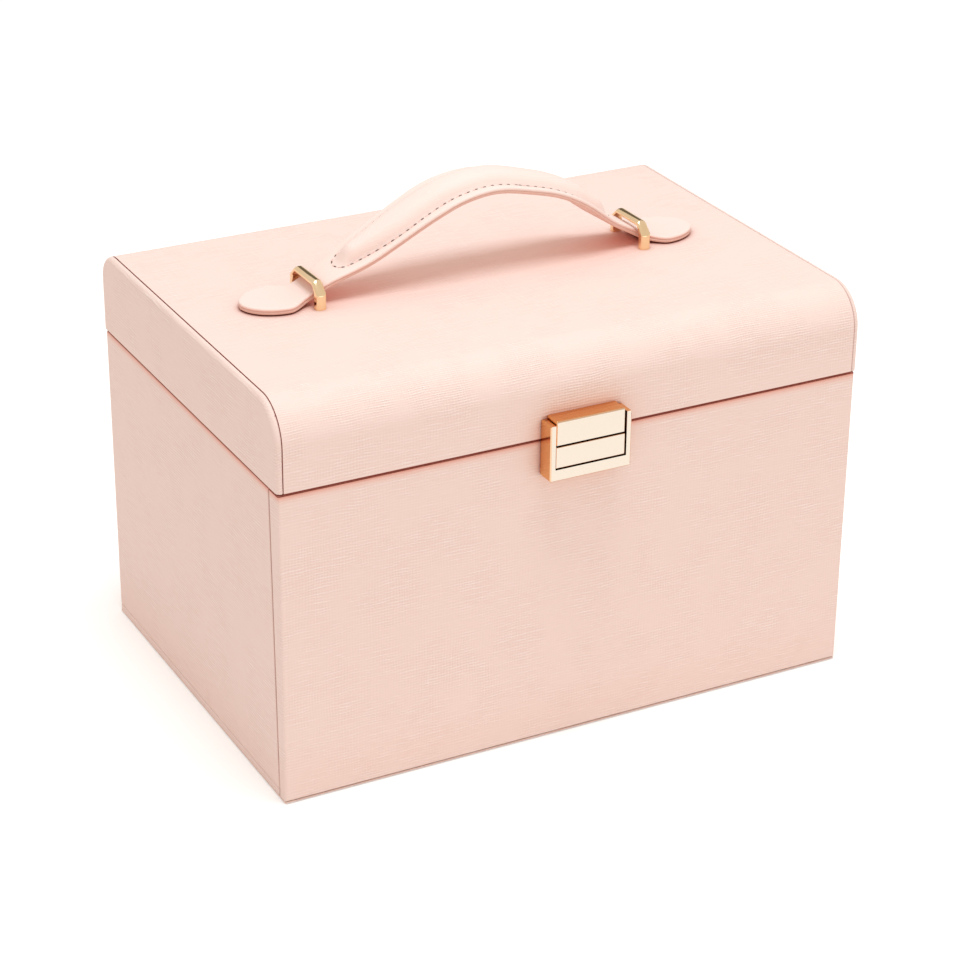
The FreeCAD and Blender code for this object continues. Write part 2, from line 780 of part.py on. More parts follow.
def make_lock_frame():
    body = new_body("lock_frame")
    profile = sketch(body, "XZ_Plane", -(front - S.lock_stand_off))
    bar_top = lock_foot + S.lock_bottom
    outline(
        profile,
        [
            (-half_lock, lock_foot),
            (half_lock, lock_foot),
            (half_lock, lock_head),
            (arm_inside, lock_head),
            (arm_inside, bar_top),
            (-arm_inside, bar_top),
            (-arm_inside, lock_head),
            (-half_lock, lock_head),
        ],
    )
    feature = pad(body, profile, S.lock_reach - S.lock_stand_off)
    names = []
    for side in (-half_lock, half_lock):
        names += edges_along(feature.Shape, "z", x=side, y=lock_face)
        names += edges_along(feature.Shape, "y", x=side, z=lock_foot)
        names += edges_along(feature.Shape, "y", x=side, z=lock_head)
    names += edges_along(feature.Shape, "x", y=lock_face, z=lock_foot)
    bevelled(body, feature, names, S.lock_round)
    seat = sketch(body, "XZ_Plane", -front)
    top = case_top - S.seam_gap / 2
    inset = S.lock_round
    outline(
        seat,
        [
            (-half_lock + inset, lock_foot + inset),
            (half_lock - inset, lock_foot + inset),
            (half_lock - inset, top),
            (half_notch, top),
            (half_notch, notch_low),
            (-half_notch, notch_low),
            (-half_notch, top),
            (-half_lock + inset, top),
        ],
    )
    pad(body, seat, S.lock_stand_off)
    for side in (-1, 1):
        bore = sketch(body, "XZ_Plane", -front)
        circle(bore, (S.lock_screw_place * side, screw_height), S.lock_screw_radius + S.pin_play)
        pocket(body, bore, S.lock_reach - S.lock_screw_tip + S.bore_spare, other_way=True)


def make_strike():
    body = new_body("lock_strike")
    low = lid_bottom - S.seam_gap / 4
    profile = sketch(body, "XZ_Plane", -lid_front)
    rectangle(profile, (-plate_half, plate_half), (low, strike_top))
    feature = pad(body, profile, lid_front - plate_face)
    names = edges_along(feature.Shape, "y", z=strike_top)
    names += edges_along(feature.Shape, "x", y=plate_face, z=strike_top)
    for side in (-plate_half, plate_half):
        names += edges_along(feature.Shape, "z", x=side, y=plate_face)
    bevelled(body, feature, names, S.lock_round)
    half_tongue = S.tongue_width / 2
    tongue = sketch(body, "XZ_Plane", -(tongue_front + S.tongue_thick))
    rectangle(tongue, (-half_tongue, half_tongue), (lid_bottom - S.tongue_drop, low + SPARE))
    pad(body, tongue, S.tongue_thick)
    window = sketch(body, "XZ_Plane", -(tongue_front + S.tongue_thick + SPARE))
    window_low = lid_bottom - S.tongue_drop + S.tongue_edge
    rectangle(window, (-half_tongue / 2, half_tongue / 2), (window_low, window_low + S.tongue_window))
    pocket(body, window, S.tongue_thick + SPARE * 2, other_way=True)


def make_button():
    body = new_body("lock_button")
    profile = sketch(body, "XZ_Plane", -(plate_face + S.button_thick))
    top = case_top - S.seam_gap / 4
    rectangle(profile, (-plate_half, plate_half), (button_low, top))
    feature = pad(body, profile, S.button_thick)
    names = []
    for side in (-plate_half, plate_half):
        names += edges_along(feature.Shape, "z", x=side, y=plate_face)
    for height in (button_low, top):
        names += edges_along(feature.Shape, "x", y=plate_face, z=height)
    bevelled(body, feature, names, S.lock_round / 2)


def make_lock_springs():
    """Two bowed leaf springs, with their feet on the lock's seat plate and their crowns on the button."""
    button_back = plate_face + S.button_thick + S.pin_play
    seat = front - S.lock_stand_off - S.pin_play
    foot_inside = S.spring_reach - S.spring_foot
    thick = S.spring_thick
    half = [
        (S.spring_crown, button_back),
        (foot_inside, seat - thick),
        (S.spring_reach, seat - thick),
        (S.spring_reach, seat),
        (foot_inside - thick, seat),
        (S.spring_crown - thick, button_back + thick),
    ]
    springs = []
    for name, side in (("left", -1), ("right", 1)):
        body = doc.addObject("PartDesign::Body", "lock_spring_" + name)
        middle = (half_notch + plate_half) / 2 * side
        profile = sketch(body, "XY_Plane", button_low + S.spring_place)
        points = [(middle + u, y) for u, y in half]
        points += [(middle - u, y) for u, y in reversed(half)]
        outline(profile, points)
        pad(body, profile, S.spring_width)
        springs.append(body)
    keep(group("lock_springs", springs), "lock_springs")


def make_lock_screws():
    screws = []
    for side, place in (("left", -S.lock_screw_place), ("right", S.lock_screw_place)):
        name = "lock_screw_" + side
        tip = lock_face + S.lock_screw_tip
        shank = rod(name + "_shank", "y", S.lock_screw_radius, (place, tip, screw_height), screw_seat - tip)
        head = rod(name + "_head", "y", S.screw_head, (place, screw_seat, screw_height), S.screw_head_thick)
        screws.append(fused(name, [shank, head]))
    keep(group("lock_screws", screws), "lock_screws")


# Lid: a bent cover between two padded side panels, with a mirror inside.

def lid_block(label, low, length):
    """The lid's outline from the side, with its round top edges, padded along X."""
    body = new_body(label)
    profile = sketch(body, "YZ_Plane", low)
    rectangle(profile, (lid_front, lid_back), (lid_bottom, lid_top))
    feature = pad(body, profile, length)
    front_edge = edges_along(feature.Shape, "x", y=lid_front, z=lid_top)
    feature = rounded(body, feature, front_edge, S.lid_front_round)
    back_edge = edges_along(feature.Shape, "x", y=lid_back, z=lid_top)
    feature = rounded(body, feature, back_edge, S.lid_back_round)
    return body, feature


def corner_run(outer_round):
    """How far the cover's inner corner reaches in, at the height of the lining board's top."""
    inner = outer_round - S.lid_skin
    rise = inner - S.screw_space
    return inner - root(inner * inner - rise * rise)


def make_lid():
    cover_half = lid_half_width - S.lid_side - S.lid_seam
    body, feature = lid_block("lid_cover", -cover_half, cover_half * 2)
    open_faces = []
    for number, face in enumerate(feature.Shape.Faces, start=1):
        box = face.BoundBox
        at_end = box.XLength < NEAR
        below = box.ZLength < NEAR and box.ZMax < float(lid_bottom) + NEAR
        if at_end or below:
            open_faces.append("Face%d" % number)
    shell = body.newObject("PartDesign::Thickness", "lid_cover_shell")
    shell.Base = (feature, open_faces)
    bind(shell, "Value", S.lid_skin)
    shell.Reversed = True
    doc.recompute()
    for side in (-1, 1):
        for place in loop_leg_places():
            bore = sketch(body, "XY_Plane", lid_top - S.lid_skin - SPARE)
            circle(bore, (S.loop_spacing / 2 * side, place), S.lock_screw_radius + S.pin_play)
            pocket(body, bore, S.lid_skin + SPARE * 2, other_way=True)

    for label, low, outer in (
        ("lid_left_side", -lid_half_width, -lid_half_width),
        ("lid_right_side", lid_half_width - S.lid_side, lid_half_width),
    ):
        body, feature = lid_block(label, low, S.lid_side)
        names = []
        for number, edge in enumerate(feature.Shape.Edges, start=1):
            box = edge.BoundBox
            outside = box.XLength < NEAR and abs(box.XMin - float(outer)) < NEAR
            if outside and box.ZMax > float(lid_bottom) + NEAR:
                names.append("Edge%d" % number)
        rounded(body, feature, names, S.lid_side_round)

    inner_front = lid_front + S.lid_skin
    inner_back = lid_back - S.lid_skin
    plain_piece(
        "lid_lining",
        (-cover_half + S.fit_gap, cover_half - S.fit_gap),
        (
            inner_front + corner_run(S.lid_front_round) + S.fit_gap,
            inner_back - corner_run(S.lid_back_round) - S.fit_gap,
        ),
        (lining_low, lining_high),
    )
    make_mirror()


def make_mirror():
    half_x = S.mirror_width / 2
    half_y = S.mirror_depth / 2
    glass_low = lining_low - S.mirror_thick
    frame_low = glass_low - S.mirror_face
    plain_piece("mirror_glass", (-half_x, half_x), (-half_y, half_y), (glass_low, lining_low))
    side = S.mirror_frame_width - S.mirror_lip
    gap = S.fit_gap
    outside = block(
        "mirror_frame_outside",
        (-half_x - side, half_x + side),
        (-half_y - side, half_y + side),
        (frame_low, lining_low),
    )
    rebate = block(
        "mirror_frame_rebate",
        (-half_x - gap, half_x + gap),
        (-half_y - gap, half_y + gap),
        (glass_low, lining_low + SPARE),
    )
    window = block(
        "mirror_frame_window",
        (-half_x + S.mirror_lip, half_x - S.mirror_lip),
        (-half_y + S.mirror_lip, half_y - S.mirror_lip),
        (frame_low - SPARE, lining_low + SPARE),
    )
    keep(cut("mirror_frame", outside, [rebate, window]), "mirror_frame")


# Lid hinges: two butt hinges on the back, each with a leaf on the case, one on the lid and a pin.

hinge_y = lid_back + S.knuckle_radius + S.knuckle_gap
hinge_z = S.seam_height


def make_leaf(label, left, right, face, plate, web, knuckles):
    """A hinge leaf: a plate on a wall, its knuckles, the web up to them, and the bore through them."""
    body = new_body(label)
    profile = sketch(body, "XZ_Plane", -(face + S.hinge_leaf))
    rectangle(profile, (left, right), plate)
    pad(body, profile, S.hinge_leaf)
    for start, end in knuckles:
        barrel = sketch(body, "YZ_Plane", start)
        circle(barrel, (hinge_y, hinge_z), S.knuckle_radius)
        pad(body, barrel, end - start)
        strip = sketch(body, "XZ_Plane", -(face + S.hinge_leaf))
        rectangle(strip, (start, end), web)
        pad(body, strip, S.hinge_leaf)
    bore = sketch(body, "YZ_Plane", left - SPARE)
    circle(bore, (hinge_y, hinge_z), S.hinge_pin_radius + S.pin_play)
    pocket(body, bore, right - left + SPARE * 2, other_way=True)


def make_hinges():
    third = S.hinge_width / 3
    gap = S.knuckle_gap / 2
    stand = S.knuckle_radius + S.knuckle_gap
    case_plate = (hinge_z - stand - S.hinge_leaf_height, hinge_z - stand)
    lid_plate = (hinge_z + stand, hinge_z + stand + S.hinge_leaf_height)
    for side_name, middle in (("left", -hinge_x), ("right", hinge_x)):
        left = middle - S.hinge_width / 2
        right = middle + S.hinge_width / 2
        outer = [(left, left + third - gap), (right - third + gap, right)]
        inner = [(left + third + gap, right - third - gap)]
        label = "hinge_leaf_case_" + side_name
        make_leaf(label, left, right, back, case_plate, (case_plate[0], hinge_z), outer)
        label = "hinge_leaf_lid_" + side_name
        make_leaf(label, left, right, lid_back, lid_plate, (hinge_z, lid_plate[1]), inner)
        pin = rod(
            "hinge_pin_" + side_name,
            "x",
            S.hinge_pin_radius,
            (left - S.knuckle_gap, hinge_y, hinge_z),
            S.hinge_width + S.knuckle_gap * 2,
        )
        keep(pin, "hinge_pin_" + side_name)


# Handle loops: bevelled metal bridges over the strap, held by screws from inside the lid.

def loop_leg_places():
    reach = S.loop_width / 2 - S.loop_leg / 2
    return (S.handle_back - reach, S.handle_back + reach)


def make_loop(label, middle):
    body = new_body(label)
    half = S.loop_width / 2
    near = S.handle_back - half
    far = S.handle_back + half
    profile = sketch(body, "YZ_Plane", middle - S.loop_strip / 2)
    bar_low = lid_top + S.loop_height - S.loop_bar
    top = lid_top + S.loop_height
    corner = S.loop_corner
    inner = S.loop_inner_corner
    outline(
        profile,
        [
            (near, lid_top),
            (near + S.loop_leg, lid_top),
            (near + S.loop_leg, bar_low - inner),
            (near + S.loop_leg + inner, bar_low),
            (far - S.loop_leg - inner, bar_low),
            (far - S.loop_leg, bar_low - inner),
            (far - S.loop_leg, lid_top),
            (far, lid_top),
            (far, top - corner),
            (far - corner, top),
            (near + corner, top),
            (near, top - corner),
        ],
    )
    feature = pad(body, profile, S.loop_strip)
    names = []
    for number, edge in enumerate(feature.Shape.Edges, start=1):
        box = edge.BoundBox
        at_end = box.YMin < float(near) + NEAR or box.YMax > float(far) - NEAR
        outside = at_end or box.ZMin > float(top) - NEAR
        if box.XLength < NEAR and outside and box.ZMax > float(lid_top) + NEAR:
            names.append("Edge%d" % number)
    bevelled(body, feature, names, S.loop_facet)
    for place in loop_leg_places():
        bore = sketch(body, "XY_Plane", lid_top - SPARE)
        circle(bore, (middle, place), S.lock_screw_radius + S.pin_play)
        pocket(body, bore, S.loop_screw_bite + S.bore_spare + SPARE, other_way=True)


def make_loop_screws():
    screws = []
    seat = lid_top - S.lid_skin - S.pin_play
    for side_name, side in (("left", -1), ("right", 1)):
        for end_name, place in zip(("front", "back"), loop_leg_places()):
            name = "loop_screw_%s_%s" % (side_name, end_name)
            x = S.loop_spacing / 2 * side
            low = seat - S.screw_head_thick
            head = rod(name + "_head", "z", S.screw_head, (x, place, low), S.screw_head_thick)
            length = S.lid_skin + S.pin_play + S.loop_screw_bite
            shank = rod(name + "_shank", "z", S.lock_screw_radius, (x, place, seat), length)
            screws.append(fused(name, [head, shank]))
    keep(group("loop_screws", screws), "loop_screws")


# Handle: a padded strap in five lengths, which hinge where the leather bends. The grip is an arc,
# an arm runs from each end of it to a loop, and a flared tab lies on the lid outside each loop.

arc_x = float(S.arch_peak)
arc_z = float(lid_top + S.arch_height - S.arch_radius)
arc_r = float(S.arch_radius)
strap_y = float(S.handle_back)
half_strap = float(S.strap_thick) / 2
half_pad_width = float(S.pad_width) / 2
neck_x = float(S.loop_spacing / 2 - S.neck_place)


def tangent_angle(side):
    """Angle from the peak to where an arm leaves the grip's arc as its tangent."""
    run = abs(neck_x * side - arc_x)
    rise = float(lid_top + S.neck_height) - arc_z
    reach = math.hypot(run, rise)
    return math.atan2(run, rise) - math.acos(arc_r / reach)


def arm_joint(side):
    """Where the grip ends and an arm begins, in the middle of the strap."""
    angle = tangent_angle(side)
    return Vector(arc_x + side * arc_r * math.sin(angle), strap_y, arc_z + arc_r * math.cos(angle))


def loop_joint(side):
    """Where an arm ends in its loop and the tab begins."""
    return Vector(neck_x * side, strap_y, float(lid_top + S.neck_height))


PAD_FACETS = 4  # flat strips that make up the crown of the padding


def strap_section(centre, along, width, padding, pad_half):
    """Outline of the strap across its length: flat below, with its padding as a crown on top."""
    across = Vector(0, 1, 0)
    up = along.cross(across)
    if up.z < 0:
        up = up * -1
    half = width / 2
    points = [(-half, half_strap), (-half, -half_strap), (half, -half_strap), (half, half_strap)]
    crown_radius = (pad_half * pad_half + padding * padding) / (2 * padding)
    half_angle = math.asin(pad_half / crown_radius)
    for number in range(PAD_FACETS + 1):
        angle = half_angle * (1 - 2 * number / PAD_FACETS)
        rise = crown_radius * (math.cos(angle) - math.cos(half_angle))
        points.append((crown_radius * math.sin(angle), half_strap + rise))
    corners = [centre + across * u + up * v for u, v in points]
    return Part.makePolygon(corners + [corners[0]])


def knuckle(centre, radius, width):
    """A round about a joint's axis, across the strap."""
    start = Vector(centre.x, centre.y - width / 2, centre.z)
    return Part.makeCylinder(radius, width, start, Vector(0, 1, 0))


def keep_shape(label, solid):
    """Keeps a sub-part of the strap, which has to be one solid."""
    if len(solid.Solids) != 1:
        raise RuntimeError("%s is in %d pieces" % (label, len(solid.Solids)))
    feature = doc.addObject("Part::Feature", label)
    feature.Shape = solid.Solids[0]
    keep(feature, label)


inner_round = half_strap + float(S.pad_height + S.bend_round)
outer_round = half_strap + float(S.bend_round)
cut_width = float(S.tab_width) * 2


def make_grip():
    """The grip: the section turned about the arc's axis, hollowed at each end for an arm."""
    start_angle = tangent_angle(-1)
    end_angle = tangent_angle(1)
    along = Vector(math.cos(start_angle), 0, math.sin(start_angle))
    section = strap_section(arm_joint(-1), along, float(S.grip_width), float(S.pad_height), half_pad_width)
    turn = math.degrees(start_angle + end_angle)
    axis_start = Vector(arc_x, strap_y, arc_z)
    solid = Part.Face(section).revolve(axis_start, Vector(0, 1, 0), turn)
    for side in (-1, 1):
        solid = solid.cut(knuckle(arm_joint(side), inner_round + float(S.joint_gap), cut_width))
    keep_shape("handle_grip", solid)


def make_arm(label, side):
    """An arm: a loft from the grip's section to the neck's, round at the grip, hollow at the loop."""
    inner = arm_joint(side)
    outer = loop_joint(side)
    along = (inner - outer).normalize()
    length = (inner - outer).Length
    grip = float(S.grip_width)
    neck = float(S.neck_width)
    pad_start = float(S.pad_end)
    pad_full = pad_start + float(S.pad_ramp)
    stations = (
        (length, float(S.pad_height)),
        (pad_full, float(S.pad_height)),
        (pad_start, float(S.neck_padding)),
        (0, float(S.neck_padding)),
    )
    wires = []
    for place, padding in stations:
        width = neck + (grip - neck) * place / length
        wires.append(strap_section(outer + along * place, along, width, padding, half_pad_width))
    solid = Part.makeLoft(wires, True, True)
    tip = Part.Face(wires[0]).extrude(along * inner_round)
    tip = tip.common(knuckle(inner, inner_round, cut_width))
    solid = solid.fuse(tip).removeSplitter()
    solid = solid.cut(knuckle(outer, outer_round + float(S.joint_gap), cut_width))
    keep_shape(label, solid)


def tab_profile(side):
    """The tab from the side: down from the loop at the neck's slope, then flat on the lid."""
    slope = math.radians(float(S.neck_slope))
    bend = float(S.neck_bend)
    start = loop_joint(side)
    flat_z = float(lid_top + S.tab_lift) + half_strap
    drop = start.z - flat_z
    run_length = (drop - bend * (1 - math.cos(slope))) / math.sin(slope)
    tip_x = start.x + side * float(S.tab_length)

    def offset(lift):
        """The strap's face this far above its middle."""
        normal = Vector(side * math.sin(slope), 0, math.cos(slope)) * lift
        first = start + normal
        down = start + Vector(side * math.cos(slope), 0, -math.sin(slope)) * run_length
        second = down + normal
        centre = Vector(down.x + side * bend * math.sin(slope), strap_y, flat_z + bend)
        radius = bend - lift
        half_turn = slope / 2
        middle = centre + Vector(-side * math.sin(half_turn), 0, -math.cos(half_turn)) * radius
        third = Vector(centre.x, strap_y, flat_z + lift)
        fourth = Vector(tip_x, strap_y, flat_z + lift)
        return first, second, middle, third, fourth

    low = offset(-half_strap)
    high = offset(half_strap)
    edges = []
    for points in (low, high):
        first, second, middle, third, fourth = points
        edges.append(Part.LineSegment(first, second).toShape())
        edges.append(Part.Arc(second, middle, third).toShape())
        edges.append(Part.LineSegment(third, fourth).toShape())
    edges.append(Part.LineSegment(low[0], high[0]).toShape())
    edges.append(Part.LineSegment(low[4], high[4]).toShape())
    wire = Part.Wire(Part.sortEdges(edges)[0])
    return Part.Face(wire)


ROUND_PULL = 0.62  # how far the curve of the round end is pulled towards its corner
OUTLINE_FACETS = 8  # straight lengths that make up one curve of the outline


def faceted(poles):
    """The curve with these poles as a row of straight edges."""
    curve = Part.BezierCurve()
    curve.setPoles(poles)
    points = [curve.value(number / OUTLINE_FACETS) for number in range(OUTLINE_FACETS + 1)]
    return [Part.LineSegment(a, b).toShape() for a, b in zip(points, points[1:])]


def tab_outline(side):
    """The tab from above: narrow in the loop, flared and round outside it."""
    start = loop_joint(side)
    neck = float(S.neck_width) / 2
    flare = float(S.tab_width) / 2
    corner = float(S.tab_corner)
    tip = float(S.tab_length)
    neck_start = -inner_round
    neck_end = float(S.neck_place + S.loop_strip / 2 + S.neck_straight)
    flare_start = tip - corner
    low = float(lid_top - SPARE)

    def at(u, v):
        return Vector(start.x + side * u, strap_y + v, low)

    edges = []
    for sign in (-1, 1):
        edges.append(Part.LineSegment(at(neck_start, sign * neck), at(neck_end, sign * neck)).toShape())
        middle = (neck_end + flare_start) / 2
        flank = [
            at(neck_end, sign * neck),
            at(middle, sign * neck),
            at(middle, sign * flare),
            at(flare_start, sign * flare),
        ]
        round_end = [
            at(flare_start, sign * flare),
            at(flare_start + corner * ROUND_PULL, sign * flare),
            at(tip, sign * flare * ROUND_PULL),
            at(tip, 0),
        ]
        edges.extend(faceted(flank) + faceted(round_end))
    edges.append(Part.LineSegment(at(neck_start, -neck), at(neck_start, neck)).toShape())
    return Part.Face(Part.Wire(Part.sortEdges(edges)[0]))


def make_tab(label, side):
    """A tab: its side view and its outline from above, both pulled through, and what they share."""
    strip = tab_profile(side)
    strip.translate(Vector(0, -cut_width / 2, 0))
    solid = strip.extrude(Vector(0, cut_width, 0))
    height = float(S.neck_height + SPARE) + inner_round
    solid = solid.common(tab_outline(side).extrude(Vector(0, 0, height)))
    tip = knuckle(loop_joint(side), outer_round, float(S.neck_width))
    keep_shape(label, solid.fuse(tip).removeSplitter())


def make_handle():
    make_grip()
    for name, side in (("left", -1), ("right", 1)):
        make_arm("handle_%s_arm" % name, side)
        make_tab("handle_%s_tab" % name, side)


def check_and_export():
    """Stops on a failed feature, or on a sub-part that is empty or not valid, then writes them all."""
    doc.recompute()
    failed = [o.Label for o in doc.Objects if "Invalid" in o.State or "Error" in o.State]
    if failed:
        raise RuntimeError("failed features: " + ", ".join(failed))
    for piece in pieces:
        shape = piece.Shape
        if shape.isNull() or not shape.isValid() or not shape.Solids:
            raise RuntimeError("bad shape: " + piece.Label)
    os.makedirs("parts", exist_ok=True)
    for piece in pieces:
        piece.Shape.exportStep("parts/%s.step" % piece.Label)


def print_places():
    """The joints' places, for whoever writes down how the box moves."""
    print("sub-parts", len(pieces))
    print("lid hinge y %.3f z %.3f" % (float(hinge_y), float(hinge_z)))
    for side in (-1, 1):
        for name, place in (("arm", arm_joint(side)), ("loop", loop_joint(side))):
            print("%s joint %+d: %.3f %.3f %.3f" % (name, side, place.x, place.y, place.z))
        print("arm slope %+d: %.3f" % (side, math.degrees(tangent_angle(side))))


make_case()
make_bay()
make_tray()
for drawer_name, drawer_side in (("left", -1), ("right", 1)):
    make_drawer(drawer_name, drawer_side)
make_flap()
make_magnets()
make_lock_frame()
make_strike()
make_button()
make_lock_springs()
make_lock_screws()
make_lid()
make_hinges()
for loop_name, loop_side in (("left", -1), ("right", 1)):
    make_loop("handle_loop_" + loop_name, S.loop_spacing / 2 * loop_side)
make_loop_screws()
make_handle()
check_and_export()
print_places()
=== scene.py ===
"""Drawer jewellery box with a strap handle: leatherette, gold fittings, suede and a mirror."""

import json
import math

import bmesh
import bpy
from bpy.props import FloatProperty, FloatVectorProperty, IntProperty, PointerProperty
from mathutils import Matrix, Vector

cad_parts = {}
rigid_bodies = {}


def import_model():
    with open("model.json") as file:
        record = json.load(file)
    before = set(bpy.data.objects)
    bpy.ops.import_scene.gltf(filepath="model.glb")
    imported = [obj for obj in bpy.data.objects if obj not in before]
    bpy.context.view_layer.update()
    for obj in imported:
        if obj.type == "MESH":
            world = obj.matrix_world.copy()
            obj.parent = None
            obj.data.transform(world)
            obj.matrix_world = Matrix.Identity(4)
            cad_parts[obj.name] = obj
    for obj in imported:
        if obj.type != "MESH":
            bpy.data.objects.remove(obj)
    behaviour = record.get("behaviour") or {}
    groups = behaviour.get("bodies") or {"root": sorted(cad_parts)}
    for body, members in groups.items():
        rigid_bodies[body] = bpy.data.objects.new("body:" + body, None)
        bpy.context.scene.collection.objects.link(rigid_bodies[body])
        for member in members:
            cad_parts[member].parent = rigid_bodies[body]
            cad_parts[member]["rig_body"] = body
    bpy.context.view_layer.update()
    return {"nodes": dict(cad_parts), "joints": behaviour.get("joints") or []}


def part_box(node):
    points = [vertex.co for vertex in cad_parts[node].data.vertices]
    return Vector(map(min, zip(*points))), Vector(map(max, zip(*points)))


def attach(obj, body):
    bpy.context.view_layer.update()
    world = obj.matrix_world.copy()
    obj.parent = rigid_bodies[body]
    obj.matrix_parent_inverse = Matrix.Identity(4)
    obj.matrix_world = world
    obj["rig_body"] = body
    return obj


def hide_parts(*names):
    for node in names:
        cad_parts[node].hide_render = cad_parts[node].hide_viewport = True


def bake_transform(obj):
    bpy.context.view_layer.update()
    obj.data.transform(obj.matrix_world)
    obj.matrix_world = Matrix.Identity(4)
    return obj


bl_info = {
    "name": "Drawer jewellery box",
    "version": (1, 0, 0),
    "blender": (4, 5, 0),
    "location": "3D View > Sidebar > Jewellery box",
    "description": "Dresses a jewellery box with drawers and a strap handle",
    "category": "Add Mesh",
}

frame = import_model()

MM = 0.001
JOINTS = {joint["name"]: joint for joint in frame["joints"]}
LEATHER_SIDES = 0.7  # a face whose normal lies this much along X is a side face


def seen(red, green, blue):
    """A colour as it is seen, 0 to 255, as the linear values that materials take."""
    channels = []
    for value in (red, green, blue):
        share = value / 255
        channels.append(share / 12.92 if share <= 0.04045 else ((share + 0.055) / 1.055) ** 2.4)
    return tuple(channels)


def colour(name, description, red, green, blue):
    return FloatVectorProperty(
        name=name,
        description=description,
        subtype="COLOR",
        size=3,
        min=0,
        max=1,
        default=seen(red, green, blue),
    )


def length(name, description, millimetres):
    return FloatProperty(name=name, description=description, unit="LENGTH", default=millimetres * MM)


class BoxColours(bpy.types.PropertyGroup):
    """Colours of the box."""

    leather: colour("Leatherette", "Linen-grained leatherette outside", 244, 219, 209)
    # Painted highlight on the raised threads of the grain, brightest where two threads cross.
    leather_light: colour("Grain highlight", "Leatherette where two threads of the grain cross", 255, 240, 233)
    # Darker leatherette tone: painted shade in the hollows of the grain, and a plain darker tone in drifts, threads and
    # edges.
    leather_deep: colour("Grain hollows", "Leatherette between the threads of the grain", 228, 188, 174)
    edge_paint: colour("Edge of the strap", "Painted edge of the strap", 224, 168, 150)
    seam_shade: colour("Seam shade", "Leatherette deep in a seam", 136, 36, 16)
    near_shade: colour("Near shade", "Leatherette lit by more leatherette close by", 238, 148, 122)
    suede: colour("Suede", "Lining of tray, drawers and bay", 238, 219, 205)
    suede_deep: colour("Brushed suede", "Lining where the nap lies the other way", 224, 199, 182)
    cushion: colour("Ring rolls", "Ring rolls", 242, 224, 210)
    # Painted reflections on the lock's gold: paler on faces that look to the front, coppery on the others.
    gold_face: colour("Gold face", "Polished faces of the lock", 226, 212, 197)
    gold_side: colour("Gold side", "Sides of the lock", 234, 174, 114)
    loop_face: colour("Loop", "Polished loops of the handle", 254, 230, 192)
    loop_worn: colour("Worn loop", "Loops where hands have dulled them", 238, 202, 154)
    thread: colour("Thread", "Sewing thread of the strap", 232, 196, 180)
    # Painted shade in the needle holes between the stitches.
    needle_hole: colour("Needle hole", "Holes between two stitches", 66, 50, 48)
    mirror: colour("Mirror", "Silvered glass", 226, 231, 230)
    steel: colour("Steel", "Screws and hinge pins", 190, 186, 180)
    floor: colour("Floor", "Floor round the box", 244, 243, 241)


class BoxSizes(bpy.types.PropertyGroup):
    """Sizes of the finish."""

    grain_pitch: length("Grain pitch", "From thread to thread of the linen grain", 1.25)
    grain_depth: length("Grain depth", "Height of that grain", 0.2)
    board_round: length("Wrapped edge", "Round of a leatherette edge", 0.6)
    lining_round: length("Lining edge", "Round of a suede edge", 0.5)
    metal_round: length("Metal edge", "Round of a polished metal edge", 0.14)
    loop_crown: length("Loop crown", "Height of the rounded outer side of a loop", 1.15)
    loop_leg: length("Loop leg", "Thickness of the legs of a loop", 3.2)
    loop_bar: length("Loop bar", "Thickness of the bar of a loop", 2.0)
    loop_corner: length("Loop corner", "Cut across an outer corner of a loop", 5.0)
    loop_inner_corner: length("Inner corner", "Cut across an inner corner of a loop", 2.0)
    loop_turn: length("Loop turn", "Soft part on both sides of a corner of a loop", 0.7)
    loop_edge: length("Loop edge", "Cut along the inner edges of a loop", 0.25)
    stitch_pitch: length("Stitch pitch", "From stitch to stitch", 3.65)
    stitch_length: length("Stitch", "Visible thread of a stitch", 2.3)
    stitch_thick: length("Thread", "Thickness of the thread", 0.4)
    # The needle holes are dark marks of painted shade between the stitches.
    hole_length: length("Needle hole", "Dark gap between two stitches", 1.9)
    hole_thick: length("Needle hole width", "Width of that gap", 0.6)
    stitch_margin: length("Stitch margin", "Row of stitches outside the padding", 0.7)
    pad_half_width: length("Padding", "Half width of the padding in the grip", 7.4)
    pad_end_half_width: length("Padding end", "Half width of the padding at its ends", 4.2)
    pad_height: length("Padding height", "Crown of the padding", 4.3)
    pad_end: length("End of the padding", "From the middle of a loop to the padding", 10.5)
    strap_back: length("Strap back", "Strap behind the middle of its joints", 0.6)
    slack_left: length("Fullness", "How much the leather stands up in its left half", 1.7)
    slack_right: length("Slack", "How much the leather hangs down in its right half", 2.7)
    arch_radius: length("Arch", "Curve of the grip", 66)
    bend_smooth: length("Bend", "How softly the strap bends", 3.2)
    twist: FloatProperty(
        name="Twist",
        description="How much the strap turns over, from its middle to a loop",
        subtype="ANGLE",
        default=0.23,
    )
    lean: FloatProperty(
        name="Lean", description="How much the middle of the strap leans forward", subtype="ANGLE", default=0.1
    )
    roll_puff: length("Puff", "How far a ring roll may swell", 2.0)
    seam_height: length("Seam", "Middle of the seam between case and lid", 136)
    # The seam line is painted shade along the seam between case and lid.
    seam_line: length("Seam line", "Half width of the dark line along that seam", 0.72)
    seam_glow: length("Seam glow", "Shaded leatherette below that seam", 4.5)
    cover_reach: length("Cover", "Cover of the lid past the inner faces of its side panels", 2.1)
    panel_slope: length("Panel slope", "Fall of a side panel's rim towards the cover", 2.0)
    screw_head: length("Screw head", "Radius of a hinge screw", 1.5)


